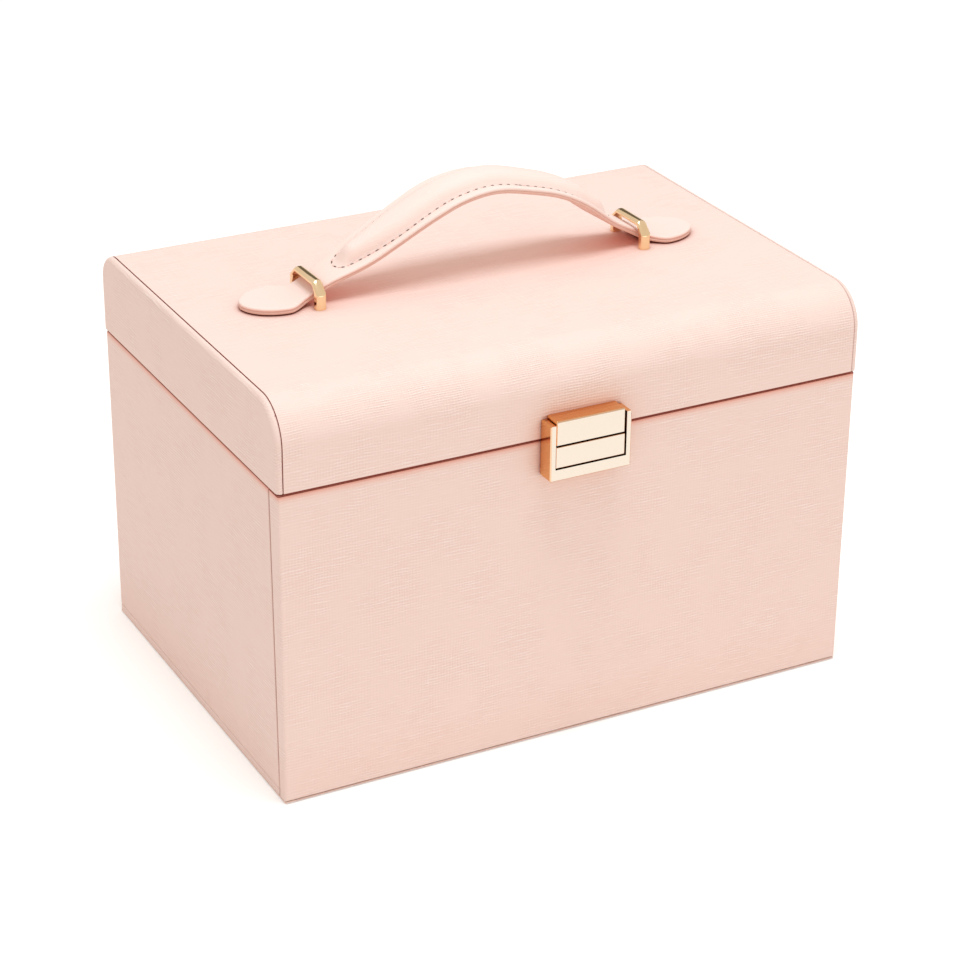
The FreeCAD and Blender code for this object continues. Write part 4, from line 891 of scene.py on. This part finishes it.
def half_width(line, distance):
    """Half of the strap's width at a distance along it."""
    left, right = line.loops
    if distance < left or distance > right:
        out = left - distance if distance < left else distance - right
        tip = left if distance < left else line.total - right
        shoulder = tip - TAB_ROUND
        if out <= NECK_STRAIGHT:
            return NECK_HALF
        if out <= shoulder:
            return NECK_HALF + (TAB_HALF - NECK_HALF) * eased((out - NECK_STRAIGHT) / (shoulder - NECK_STRAIGHT))
        share = min(1.0, (out - shoulder) / TAB_ROUND)
        return TAB_HALF * (1 - share ** TAB_POWER) ** (1 / TAB_POWER)
    for start, end in ((left, line.arms[0]), (right, line.arms[1])):
        share = (distance - start) / (end - start)
        if 0 <= share <= 1:
            return NECK_HALF + (GRIP_HALF - NECK_HALF) * share
    return GRIP_HALF


def pad_edge(line, distance):
    """Half width and height share of the padding at a distance along the strap."""
    left = line.loops[0] + sizes().pad_end
    right = line.loops[1] - sizes().pad_end
    inside = min(distance - left, right - distance)
    if inside <= 0:
        return 0.0, 0.0
    end_half = sizes().pad_end_half_width
    half = end_half + (sizes().pad_half_width - end_half) * eased(inside / (32 * MM))
    if inside < end_half:
        half *= math.sqrt(1 - (1 - inside / end_half) ** 2)
    return half, eased(inside / (9 * MM))


def top_lift(line, distance, across):
    """Height of the strap's upper face over its middle, with the padding and the sewn dip beside it."""
    half, rise = pad_edge(line, distance)
    lift = STRAP_HALF_THICK
    if half > 0:
        share = abs(across) / half
        if share < 1:
            lift += sizes().pad_height * rise * (1 - share ** 2.6) ** 0.9
        row = half + sizes().stitch_margin
        dip = math.exp(-(((abs(across) - row) / (0.7 * MM)) ** 2))
        lift -= 0.28 * MM * dip * min(1.0, rise * 3)
    return lift


def outline_at(line, distance):
    """Half width at a distance, and the outward direction of the strap's outline there."""
    small = 0.05 * MM
    half = half_width(line, distance)
    before = half_width(line, max(0.0, distance - small))
    after = half_width(line, min(line.total, distance + small))
    slope = Vector((small * 2, after - before)).normalized()
    return half, Vector((-slope.y, slope.x))


def stations(line, start, end):
    """Distances along the strap between two places, closer together at a round tip."""
    places = []
    if start <= 0:
        places += [line.total * 0 + TAB_ROUND * (1 - math.cos(math.pi / 2 * k / 26)) for k in range(26)]
        start = TAB_ROUND
    tail = []
    if end >= line.total:
        tail = [line.total - TAB_ROUND * (1 - math.cos(math.pi / 2 * k / 26)) for k in range(25, -1, -1)]
        end = line.total - TAB_ROUND
    count = max(2, int((end - start) / (1.0 * MM)))
    places += [start + (end - start) * k / count for k in range(count + 1)]
    return places + tail


def strap_ring(line, distance):
    """One closed ring of points round the strap."""
    half, outward = outline_at(line, distance)
    inner = STRAP_EDGE[0][0]

    def edge_point(side, inset, lift):
        inset = min(inset, half) if half < inner else inset
        return line.place(distance - inset * outward.x, side * max(0.0, half - inset * outward.y), lift)

    start = distance - inner * outward.x
    reach = max(0.0, half - inner * outward.y)
    ring = []
    for number in range(1, PAD_POINTS):
        across = reach * (2 * number / PAD_POINTS - 1)
        ring.append(line.place(start, across, top_lift(line, start, across)))
    ring += [edge_point(1, inset, lift) for inset, lift in STRAP_EDGE]
    for number in range(1, 6):
        ring.append(line.place(start, reach * (1 - 2 * number / 6), -STRAP_HALF_THICK))
    ring += [edge_point(-1, inset, lift) for inset, lift in reversed(STRAP_EDGE)]
    return ring


def strap_mesh(name, line, start, end):
    """The strap between two distances, closed at both ends."""
    bm = bmesh.new()
    rings = [[bm.verts.new(p) for p in strap_ring(line, d)] for d in stations(line, start, end)]
    count = len(rings[0])
    edge_count = len(STRAP_EDGE)
    first_edge = PAD_POINTS - 1
    second_edge = first_edge + edge_count + 5
    painted = set(range(first_edge + 5, first_edge + edge_count - 2))
    painted |= set(range(second_edge + 1, second_edge + edge_count - 6))
    for a, b in zip(rings, rings[1:]):
        for k in range(count):
            following = (k + 1) % count
            face = bm.faces.new((a[k], a[following], b[following], b[k]))
            face.smooth = True
            face.material_index = 1 if k in painted else 0
    for cap in (bm.faces.new(rings[0]), bm.faces.new(list(reversed(rings[-1])))):
        for edge in cap.edges:
            edge.smooth = False
    bmesh.ops.remove_doubles(bm, verts=bm.verts, dist=5e-6)
    bmesh.ops.dissolve_degenerate(bm, edges=bm.edges, dist=2e-6)
    bmesh.ops.recalc_face_normals(bm, faces=bm.faces)
    mesh = bpy.data.meshes.new(name)
    bm.to_mesh(mesh)
    bm.free()
    return mesh


def strap_lengths(line):
    """The four lengths of the strap: its name, where it starts and ends, the joint that it crosses and its bodies."""
    middle = (line.arms[0] + line.arms[1]) / 2
    cuts = [(line.loops[0] + line.arms[0]) / 2, middle, (line.loops[1] + line.arms[1]) / 2]
    return (
        ("left_end", 0.0, cuts[0], line.loops[0], ("handle_left_tab", "handle_left_arm")),
        ("left", cuts[0], cuts[1], line.arms[0], ("handle_left_arm", "handle_grip")),
        ("right", cuts[1], cuts[2], line.arms[1], ("handle_grip", "handle_right_arm")),
        ("right_end", cuts[2], line.total, line.loops[1], ("handle_right_arm", "handle_right_tab")),
    )


def bend_across(piece, line, joint, reach):
    """Bakes the transform of a piece of the strap into its mesh. It finds the points a short stretch each side of a
    joint, but does not bend the piece.
    """
    start, _ = line.at(joint - reach)
    end, _ = line.at(joint + reach)
    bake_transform(piece)


BEND_REACH = {"left_end": 5 * MM, "left": 9 * MM, "right": 7 * MM, "right_end": 5 * MM}


def stitch_rows(line, start, end):
    """Lines of the two rows of stitches between two distances, joined round the end of the padding."""
    margin = sizes().stitch_margin
    pad_left = line.loops[0] + sizes().pad_end
    pad_right = line.loops[1] - sizes().pad_end
    low = max(start, pad_left - margin)
    high = min(end, pad_right + margin)
    rows = []
    for side in (-1, 1):
        count = int((high - low) / (0.5 * MM))
        row = []
        for k in range(count + 1):
            place = low + (high - low) * k / count
            half, _ = pad_edge(line, min(max(place, pad_left + 0.02 * MM), pad_right - 0.02 * MM))
            across = side * (half + margin)
            inside = min(place - (pad_left - margin), (pad_right + margin) - place)
            turn = sizes().pad_end_half_width + margin
            if inside < turn:
                across = side * turn * math.sqrt(max(0.0, 1 - (1 - inside / turn) ** 2))
            row.append((place, across))
        rows.append(row)
    near, far = rows
    if start < pad_left:
        rows = [list(reversed(near)) + far]
    elif end > pad_right:
        rows = [near + list(reversed(far))]
    return [[line.place(d, v, top_lift(line, d, v)) for d, v in row] for row in rows]


def stitch_tree():
    """Geometry nodes that lay short rounded bars along a line, at an even pitch."""
    if "stitch_row" in bpy.data.node_groups:
        return bpy.data.node_groups["stitch_row"]
    tree = bpy.data.node_groups.new("stitch_row", "GeometryNodeTree")
    sockets = (
        ("Geometry", "NodeSocketGeometry", None),
        ("Pitch", "NodeSocketFloat", 0.0025),
        ("Offset", "NodeSocketFloat", 0.0),
        ("Bar length", "NodeSocketFloat", 0.0015),
        ("Bar thickness", "NodeSocketFloat", 0.0004),
        ("Lift", "NodeSocketFloat", 0.0),
        ("Material", "NodeSocketMaterial", None),
    )
    for label, kind, default in sockets:
        socket = tree.interface.new_socket(label, in_out="INPUT", socket_type=kind)
        if default is not None:
            socket.default_value = default
    tree.interface.new_socket("Geometry", in_out="OUTPUT", socket_type="NodeSocketGeometry")
    given = node(tree, "NodeGroupInput").outputs
    curve = node(tree, "GeometryNodeMeshToCurve", inputs={0: given["Geometry"]}).outputs[0]
    trimmed = node(
        tree, "GeometryNodeTrimCurve", mode="LENGTH", inputs={0: curve, 4: given["Offset"], 5: 1000.0}
    ).outputs[0]
    spaced = node(tree, "GeometryNodeResampleCurve", inputs={0: trimmed})
    try:
        spaced.mode = "LENGTH"
        tree.links.new(given["Pitch"], spaced.inputs["Length"])
    except (AttributeError, KeyError, TypeError) as problem:
        raise RuntimeError("the resample node has other names here") from problem
    ball = node(
        tree, "GeometryNodeMeshUVSphere", inputs={"Segments": 8, "Rings": 6, "Radius": 0.5}
    ).outputs["Mesh"]
    tangent = node(tree, "GeometryNodeInputTangent").outputs[0]
    turned = node(
        tree, "FunctionNodeAlignRotationToVector", axis="X", pivot_axis="AUTO", inputs={"Vector": tangent}
    ).outputs[0]
    size = node(
        tree,
        "ShaderNodeCombineXYZ",
        inputs={0: given["Bar length"], 1: given["Bar thickness"], 2: given["Bar thickness"]},
    ).outputs[0]
    placed = node(
        tree,
        "GeometryNodeInstanceOnPoints",
        inputs={"Points": spaced.outputs[0], "Instance": ball, "Rotation": turned, "Scale": size},
    ).outputs[0]
    real = node(tree, "GeometryNodeRealizeInstances", inputs={0: placed}).outputs[0]
    lift = node(tree, "ShaderNodeCombineXYZ", inputs={2: given["Lift"]}).outputs[0]
    moved = node(tree, "GeometryNodeSetPosition", inputs={0: real, "Offset": lift}).outputs[0]
    smooth = node(tree, "GeometryNodeSetShadeSmooth", inputs={0: moved}).outputs[0]
    dressed_rows = node(tree, "GeometryNodeSetMaterial", inputs={0: smooth, "Material": given["Material"]}).outputs[0]
    tree.links.new(dressed_rows, node(tree, "NodeGroupOutput").inputs[0])
    return tree


def input_names(tree):
    return {
        item.name: item.identifier
        for item in tree.interface.items_tree
        if item.item_type == "SOCKET" and item.in_out == "INPUT"
    }


def from_nodes(name, source_mesh, tree, values):
    """Runs a geometry node tree on a mesh, and keeps the result as a plain mesh object."""
    source = bpy.data.objects.new(name + "_source", source_mesh)
    bpy.context.scene.collection.objects.link(source)
    modifier = source.modifiers.new("nodes", "NODES")
    modifier.node_group = tree
    names = input_names(tree)
    for label, value in values.items():
        modifier[names[label]] = value
    bpy.context.view_layer.update()
    graph = bpy.context.evaluated_depsgraph_get()
    mesh = bpy.data.meshes.new_from_object(source.evaluated_get(graph))
    mesh.name = name
    source.modifiers.remove(modifier)
    bpy.data.objects.remove(source)
    if not mesh.vertices:
        raise RuntimeError(name + " came out empty")
    made = bpy.data.objects.new(name, mesh)
    bpy.context.scene.collection.objects.link(made)
    return made


def line_mesh(name, rows):
    mesh = bpy.data.meshes.new(name)
    points, edges = [], []
    for row in rows:
        first = len(points)
        points += row
        edges += [(first + k, first + k + 1) for k in range(len(row) - 1)]
    mesh.from_pydata(points, edges, [])
    return mesh


# Operators.

class PieceOperator(bpy.types.Operator):
    """Builds a group of pieces of the box."""

    bl_options = {"REGISTER", "UNDO"}

    def execute(self, context):
        self.build()
        return {"FINISHED"}


class JEWELLERY_OT_case(PieceOperator):
    """Wraps the boards of the case and the front flap in leatherette"""

    bl_idname = "jewellery.case"
    bl_label = "Case and flap"

    def build(self):
        boards = ["base_board", "base_sheet", "left_wall", "right_wall", "back_wall", "flap_board"]
        dress_all(boards, "leather", leatherette(), sizes().board_round)
        dress_all(["bay_front_rail"], "leather", leatherette(), sizes().board_round)


class JEWELLERY_OT_lid(PieceOperator):
    """Wraps the lid, and lines it with its mirror"""

    bl_idname = "jewellery.lid"
    bl_label = "Lid and mirror"

    def build(self):
        low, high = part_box("lid_cover")
        end = high.x
        rim = RimOutline(low, high)

        def widen(bm):
            """Draws the cover out over the rims of the side panels."""
            for vertex in bm.verts:
                if abs(vertex.co.x) > end - 0.1 * MM:
                    vertex.co.x += math.copysign(sizes().cover_reach, vertex.co.x)
                if vertex.co.z < low.z + 0.01 * MM:
                    vertex.co.z += 0.05 * MM

        def paint_ends(bm):
            """Painted shade on the end faces of the cover, for the dark line where it meets the side panels."""
            for face in bm.faces:
                if abs(face.normal.x) > 0.6 and abs(face.calc_center_median().x) > end:
                    face.material_index = 1
            return cut_edge()

        def slope_rim(bm):
            """Lets the rim of a side panel fall towards the cover."""
            for vertex in bm.verts:
                if abs(vertex.co.x) < end + 1 * MM:
                    vertex.co += rim.inwards(vertex.co) * sizes().panel_slope

        dressed("lid_cover", "leather", lid_leatherette(), 0.2 * MM, 2, reshape=widen, paint=paint_ends)
        for side in ("left", "right"):
            dressed("lid_%s_side" % side, "leather", leatherette(), sizes().board_round, reshape=slope_rim)
        dressed("lid_lining", "suede", suede(), sizes().lining_round)
        dressed("mirror_frame", "leather", leatherette_smooth(), sizes().lining_round)
        dressed("mirror_glass", "silver", silvered_glass(), sizes().metal_round)


class RimOutline:
    """Outline of the lid from the side."""

    def __init__(self, low, high):
        self.low = low
        self.high = high

    def inwards(self, place):
        """The way into the lid from a place on that outline, or nothing for a place inside it."""
        for y, radius, sign in ((self.low.y, LID_FRONT_ROUND, -1), (self.high.y, LID_BACK_ROUND, 1)):
            centre_y = y - sign * radius
            centre_z = self.high.z - radius
            if (place.y - centre_y) * sign > 0 and place.z > centre_z:
                away = Vector((0, place.y - centre_y, place.z - centre_z))
                return -away.normalized() if away.length > radius - 0.1 * MM else Vector()
        if place.z > self.high.z - 0.1 * MM:
            return Vector((0, 0, -1))
        if place.y < self.low.y + 0.1 * MM:
            return Vector((0, 1, 0))
        if place.y > self.high.y - 0.1 * MM:
            return Vector((0, -1, 0))
        return Vector()


LID_FRONT_ROUND = 17 * MM
LID_BACK_ROUND = 12 * MM


class JEWELLERY_OT_linings(PieceOperator):
    """Lines the bay, the tray and the back of the flap with suede"""

    bl_idname = "jewellery.linings"
    bl_label = "Suede linings"

    def build(self):
        lined = [
            "shelf_board", "tray_floor", "tray_frame", "tray_dividers", "bay_lining", "bay_divider_left",
            "bay_divider_right", "drawer_partition", "flap_lining",
        ]
        dress_all(lined, "suede", suede(), sizes().lining_round, steps=2)


class JEWELLERY_OT_drawers(PieceOperator):
    """Dresses the two drawers and their pulls"""

    bl_idname = "jewellery.drawers"
    bl_label = "Drawers"

    def build(self):
        for side in ("left", "right"):
            label = "drawer_%s_" % side
            dressed(label + "front", "leather", leatherette(), sizes().board_round)
            dressed(label + "box", "suede", suede(), sizes().lining_round, 2)
            dressed(label + "dividers", "suede", suede(), sizes().lining_round, 2)
            dressed(label + "pull", "gold", loop_gold(), sizes().metal_round, 2)


class JEWELLERY_OT_ring_rolls(PieceOperator):
    """Stuffs the seven ring rolls"""

    bl_idname = "jewellery.ring_rolls"
    bl_label = "Ring rolls"

    def build(self):
        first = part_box("ring_roll_1")
        shape = stuffed_roll(first)
        for number in range(1, 8):
            cad_node = "ring_roll_%d" % number
            mesh = shape.copy()
            mesh.name = cad_node + "_cushion"
            mesh.transform(Matrix.Translation(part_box(cad_node)[0] - first[0]))
            made = finished(mesh.name, mesh, [roll_suede()], body_with(cad_node))
            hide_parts(cad_node)
        bpy.data.meshes.remove(shape)


def stuffed_roll(box):
    """A soft roll that fills a solid's box: a rounded block, blown up as cloth and kept inside the box."""
    low, high = box
    inset = sizes().roll_puff
    middle = (low + high) / 2
    half = (high - low) / 2 - Vector((inset, inset, inset)) * 0.6
    bm = bmesh.new()
    bmesh.ops.create_cube(bm, size=2)
    for vertex in bm.verts:
        vertex.co = middle + Vector(vertex.co[k] * half[k] for k in range(3))
    lengthwise = [e for e in bm.edges if abs((e.verts[0].co - e.verts[1].co).x) > half.x]
    upper = [e for e in lengthwise if e.verts[0].co.z > middle.z]
    bmesh.ops.bevel(bm, geom=upper, offset=half.y * 0.9, segments=6, profile=0.5, affect="EDGES", clamp_overlap=True)
    mesh = bpy.data.meshes.new("stuffed_roll")
    bm.to_mesh(mesh)
    bm.free()
    roll = bpy.data.objects.new("stuffed_roll", mesh)
    bpy.context.scene.collection.objects.link(roll)
    remesh = roll.modifiers.new("even", "REMESH")
    remesh.mode = "VOXEL"
    remesh.voxel_size = 2.2 * MM
    cloth = roll.modifiers.new("cloth", "CLOTH")
    cloth.settings.use_pressure = True
    cloth.settings.uniform_pressure_force = 4
    cloth.settings.effector_weights.gravity = 0
    cloth.settings.tension_stiffness = 30
    cloth.settings.compression_stiffness = 30
    for number in range(1, 16):
        bpy.context.scene.frame_set(number)
    graph = bpy.context.evaluated_depsgraph_get()
    result = bpy.data.meshes.new_from_object(roll.evaluated_get(graph))
    bpy.data.objects.remove(roll)
    bpy.context.scene.frame_set(1)
    gap = 0.15 * MM
    for vertex in result.vertices:
        for k in range(3):
            vertex.co[k] = min(max(vertex.co[k], low[k] + gap), high[k] - gap)
    bm = bmesh.new()
    bm.from_mesh(result)
    for _ in range(2):
        bmesh.ops.smooth_vert(bm, verts=bm.verts, factor=0.5, use_axis_x=True, use_axis_y=True, use_axis_z=True)
    bmesh.ops.subdivide_edges(bm, edges=bm.edges, cuts=1, use_grid_fill=True, smooth=1.0)
    for face in bm.faces:
        face.smooth = True
    bm.to_mesh(result)
    bm.free()
    return result


class JEWELLERY_OT_lock(PieceOperator):
    """Gilds the lock on the flap and its strike on the lid"""

    bl_idname = "jewellery.lock"
    bl_label = "Lock"

    def build(self):
        for cad_node in ("lock_frame", "lock_strike", "lock_button"):
            dressed(cad_node, "gold", polished_gold(), sizes().metal_round, 2)
        for cad_node in ("lock_screws", "lock_springs", "flap_magnets", "case_magnets"):
            dressed(cad_node, "steel", bright_steel(), sizes().metal_round, 2)


class JEWELLERY_OT_hinges(PieceOperator):
    """Gilds the hinges, and puts screws in their leaves"""

    bl_idname = "jewellery.hinges"
    bl_label = "Hinges"

    def build(self):
        for side in ("left", "right"):
            for part in ("case", "lid"):
                leaf = "hinge_leaf_%s_%s" % (part, side)
                dressed(leaf, "gold", loop_gold(), sizes().metal_round, 2)
                low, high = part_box(leaf)
                face = low.y + HINGE_LEAF
                middle = (low.z + high.z) / 2 + (-1 if part == "case" else 1) * HINGE_SCREW_DROP
                places = [Vector((low.x + (high.x - low.x) * k / 6, face, middle)) for k in (1, 3, 5)]
                made = from_nodes(leaf + "_screws", line_mesh(leaf + "_screws", [places]), screw_tree(), {
                    "Radius": sizes().screw_head,
                    "Material": bright_steel(),
                })
                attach(made, body_with(leaf))
            dressed("hinge_pin_" + side, "steel", bright_steel(), sizes().metal_round, 2)


HINGE_LEAF = 1.2 * MM
HINGE_SCREW_DROP = 2.0 * MM


def screw_tree():
    """Geometry nodes that set a domed screw head with a slot on each point, facing backwards."""
    if "screw_heads" in bpy.data.node_groups:
        return bpy.data.node_groups["screw_heads"]
    tree = bpy.data.node_groups.new("screw_heads", "GeometryNodeTree")
    tree.interface.new_socket("Geometry", in_out="INPUT", socket_type="NodeSocketGeometry")
    radius = tree.interface.new_socket("Radius", in_out="INPUT", socket_type="NodeSocketFloat")
    radius.default_value = 0.0015
    tree.interface.new_socket("Material", in_out="INPUT", socket_type="NodeSocketMaterial")
    tree.interface.new_socket("Geometry", in_out="OUTPUT", socket_type="NodeSocketGeometry")
    given = node(tree, "NodeGroupInput").outputs
    ball = node(
        tree, "GeometryNodeMeshUVSphere", inputs={"Segments": 20, "Rings": 12, "Radius": 1.0}
    ).outputs["Mesh"]
    flattened = node(tree, "GeometryNodeTransform", inputs={0: ball, "Scale": (1.0, 0.42, 1.0)}).outputs[0]
    bar = node(tree, "GeometryNodeMeshCube", inputs={"Size": (1.5, 0.5, 0.22)}).outputs["Mesh"]
    slot = node(tree, "GeometryNodeTransform", inputs={0: bar, "Translation": (0, 0.45, 0)}).outputs[0]
    slotted = node(
        tree, "GeometryNodeMeshBoolean", operation="DIFFERENCE", inputs={"Mesh 1": flattened, "Mesh 2": slot}
    ).outputs[0]
    size = node(
        tree, "ShaderNodeCombineXYZ", inputs={0: given["Radius"], 1: given["Radius"], 2: given["Radius"]}
    ).outputs[0]
    points = node(tree, "GeometryNodeMeshToPoints", inputs={0: given["Geometry"]}).outputs[0]
    placed = node(
        tree, "GeometryNodeInstanceOnPoints", inputs={"Points": points, "Instance": slotted, "Scale": size}
    ).outputs[0]
    real = node(tree, "GeometryNodeRealizeInstances", inputs={0: placed}).outputs[0]
    dressed_screws = node(tree, "GeometryNodeSetMaterial", inputs={0: real, "Material": given["Material"]}).outputs[0]
    tree.links.new(dressed_screws, node(tree, "NodeGroupOutput").inputs[0])
    return tree


class JEWELLERY_OT_loops(PieceOperator):
    """Gilds the two loops of the handle"""

    bl_idname = "jewellery.loops"
    bl_label = "Handle loops"

    def build(self):
        for side in ("left", "right"):
            cad_node = "handle_loop_" + side
            name = cad_node + "_gold"
            made = finished(name, loop_mesh(name, cad_node), [loop_gold()], body_with(cad_node))
            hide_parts(cad_node)
        dressed("loop_screws", "steel", bright_steel(), sizes().metal_round, 2)


class JEWELLERY_OT_strap(PieceOperator):
    """Makes the padded strap in four lengths, and sews it"""

    bl_idname = "jewellery.strap"
    bl_label = "Strap and stitches"

    def build(self):
        line = StrapLine()
        replaced = {
            "left_end": ["handle_left_tab"],
            "left": ["handle_left_arm"],
            "right": ["handle_right_arm", "handle_grip"],
            "right_end": ["handle_right_tab"],
        }
        for name, start, end, joint, bodies in strap_lengths(line):
            piece = finished(
                "strap_" + name,
                strap_mesh("strap_" + name, line, start, end),
                [leatherette_smooth(), painted_edge()],
                None,
            )
            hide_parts(*replaced[name])
            bend_across(piece, line, joint, BEND_REACH[name])
            rows = stitch_rows(line, start, end)
            for label, offset, bar, thick, lift, material in (
                ("stitches", 0.0, sizes().stitch_length, sizes().stitch_thick, 0.05 * MM, sewing_thread()),
                # Dark marks between the stitches: painted shade in the needle holes.
                ("needle_hole_shades", sizes().stitch_pitch / 2, sizes().hole_length, sizes().hole_thick, 0.0, dark_hole()),
            ):
                label = "strap_%s_%s" % (label, name)
                made = from_nodes(label, line_mesh(label, rows), stitch_tree(), {
                    "Pitch": sizes().stitch_pitch,
                    "Offset": offset,
                    "Bar length": bar,
                    "Bar thickness": thick,
                    "Lift": lift,
                    "Material": material,
                })
                bend_across(made, line, joint, BEND_REACH[name])


class JEWELLERY_OT_stage(PieceOperator):
    """Sets up the floor, the lamps and the camera"""

    bl_idname = "jewellery.stage"
    bl_label = "Stage"

    def build(self):
        make_floor()
        make_world()
        make_lamps()
        make_flag()
        make_camera()


def make_floor():
    size = 6.0
    mesh = bpy.data.meshes.new("floor")
    corners = [(-size, -size, 0), (size, -size, 0), (size, size, 0), (-size, size, 0)]
    mesh.from_pydata([Vector(c) - Vector((0, 0, 0.3 * MM)) for c in corners], [], [(0, 1, 2, 3)])
    made, tree, shader = new_material("pale_floor")
    place = node(tree, "ShaderNodeTexCoord").outputs["Object"]
    haze = node(tree, "ShaderNodeTexNoise", inputs={"Vector": place, "Scale": 3.0}).outputs[0]
    pale = mixed(tree, maths(tree, "MULTIPLY", haze, 0.05), colours().floor, colours().suede)
    tree.links.new(pale, shader.inputs["Base Color"])
    shader.inputs["Roughness"].default_value = 0.9
    shader.inputs["Specular IOR Level"].default_value = 0.1
    path = node(tree, "ShaderNodeLightPath").outputs
    direct = maths(tree, "MAXIMUM", path["Is Camera Ray"], path["Is Glossy Ray"])
    strength = maths(tree, "MULTIPLY", direct, stage().floor_lift)
    shader.inputs["Emission Color"].default_value = (1, 1, 1, 1)
    tree.links.new(strength, shader.inputs["Emission Strength"])
    mesh.materials.append(made)
    floor = bpy.data.objects.new("floor", mesh)
    bpy.context.scene.collection.objects.link(floor)


def make_world():
    world = bpy.data.worlds.new("soft_room")
    bpy.context.scene.world = world
    world.use_nodes = True
    tree = world.node_tree
    tree.nodes.clear()
    path = node(tree, "ShaderNodeLightPath").outputs
    shown = maths(tree, "MAXIMUM", path["Is Camera Ray"], path["Is Transmission Ray"])
    room = node(tree, "ShaderNodeBackground", inputs={"Strength": stage().world_light})
    room.inputs["Color"].default_value = (*stage().room_colour, 1)
    white = node(tree, "ShaderNodeBackground", inputs={"Strength": 1.0})
    white.inputs["Color"].default_value = (1, 1, 1, 1)
    mix = node(tree, "ShaderNodeMixShader", inputs={0: shown, 1: room.outputs[0], 2: white.outputs[0]})
    tree.links.new(mix.outputs[0], node(tree, "ShaderNodeOutputWorld").inputs[0])


def area_lamp(name, place, target, width, depth, power, colour_of_light=(1, 1, 1)):
    data = bpy.data.lights.new(name, "AREA")
    data.color = colour_of_light
    data.shape = "RECTANGLE"
    data.size = width
    data.size_y = depth
    data.energy = power
    lamp = bpy.data.objects.new(name, data)
    bpy.context.scene.collection.objects.link(lamp)
    lamp.location = place
    lamp.rotation_euler = (Vector(target) - Vector(place)).to_track_quat("-Z", "Y").to_euler()


def make_lamps():
    area_lamp("top_lamp", (0.0, -0.17, 1.3), (0, 0, 0.1), 0.45, 0.45, stage().top_light, stage().top_colour)
    area_lamp("front_lamp", (0.5, -1.5, 0.7), (0, 0, 0.1), 1.0, 0.8, stage().front_light)
    area_lamp("low_lamp", (0.15, -1.3, 0.16), (0, 0, 0.04), 1.2, 0.3, stage().low_light)


def make_flag():
    """A dark card behind the box on the right, which only polished surfaces see."""
    mesh = bpy.data.meshes.new("dark_card")
    mesh.from_pydata([(-0.55, 0, 0), (0.55, 0, 0), (0.55, 0, 0.62), (-0.55, 0, 0.62)], [], [(0, 1, 2, 3)])
    made, tree, shader = new_material("dark_card")
    shade = stage().flag_shade
    shader.inputs["Base Color"].default_value = (0, 0, 0, 1)
    shader.inputs["Specular IOR Level"].default_value = 0
    shader.inputs["Emission Color"].default_value = (shade, shade * 0.9, shade * 0.7, 1)
    shader.inputs["Emission Strength"].default_value = 1
    mesh.materials.append(made)
    card = bpy.data.objects.new("dark_card", mesh)
    bpy.context.scene.collection.objects.link(card)
    card.location = (0.75, 1.15, 0.42)
    card.rotation_euler = (0, 0, -0.58)
    for ray in ("visible_camera", "visible_diffuse", "visible_transmission", "visible_shadow"):
        setattr(card, ray, False)


def make_camera():
    data = bpy.data.cameras.new("camera")
    data.sensor_width = 36
    data.lens = stage().lens
    data.clip_start = 0.05
    data.clip_end = 50
    camera = bpy.data.objects.new("camera", data)
    bpy.context.scene.collection.objects.link(camera)
    turn, tilt, roll = stage().camera_turn, stage().camera_tilt, stage().camera_roll
    forward = Vector((math.sin(turn) * math.cos(tilt), math.cos(turn) * math.cos(tilt), -math.sin(tilt)))
    right = Vector((math.cos(turn), -math.sin(turn), 0))
    up = right.cross(forward)
    rolled_right = right * math.cos(roll) + up * math.sin(roll)
    rolled_up = up * math.cos(roll) - right * math.sin(roll)
    axes = Matrix((rolled_right, rolled_up, -forward)).transposed()
    camera.matrix_world = Matrix.Translation(stage().camera_place) @ axes.to_4x4()
    bpy.context.scene.camera = camera


OPERATORS = (
    JEWELLERY_OT_case,
    JEWELLERY_OT_lid,
    JEWELLERY_OT_linings,
    JEWELLERY_OT_drawers,
    JEWELLERY_OT_ring_rolls,
    JEWELLERY_OT_lock,
    JEWELLERY_OT_hinges,
    JEWELLERY_OT_loops,
    JEWELLERY_OT_strap,
    JEWELLERY_OT_stage,
)


class JEWELLERY_PT_panel(bpy.types.Panel):
    """Lists the pieces, colours and sizes of the box"""

    bl_idname = "JEWELLERY_PT_panel"
    bl_label = "Jewellery box"
    bl_space_type = "VIEW_3D"
    bl_region_type = "UI"
    bl_category = "Jewellery box"

    def draw(self, context):
        for operator in OPERATORS:
            self.layout.operator(operator.bl_idname)
        for group in (context.scene.box_colours, context.scene.box_sizes, context.scene.box_stage):
            column = self.layout.column()
            for name in group.__annotations__:
                column.prop(group, name)


PROPERTY_GROUPS = (("box_colours", BoxColours), ("box_sizes", BoxSizes), ("box_stage", StageSettings))


def register():
    for name, group in PROPERTY_GROUPS:
        bpy.utils.register_class(group)
        setattr(bpy.types.Scene, name, PointerProperty(type=group))
    for operator in OPERATORS:
        bpy.utils.register_class(operator)
    bpy.utils.register_class(JEWELLERY_PT_panel)


def unregister():
    bpy.utils.unregister_class(JEWELLERY_PT_panel)
    for operator in reversed(OPERATORS):
        bpy.utils.unregister_class(operator)
    for name, group in reversed(PROPERTY_GROUPS):
        delattr(bpy.types.Scene, name)
        bpy.utils.unregister_class(group)


def main():
    register()
    bpy.context.scene.view_settings.view_transform = "Standard"
    for operator in OPERATORS:
        family, action = operator.bl_idname.split(".")
        getattr(getattr(bpy.ops, family), action)()


if __name__ == "__main__":
    main()
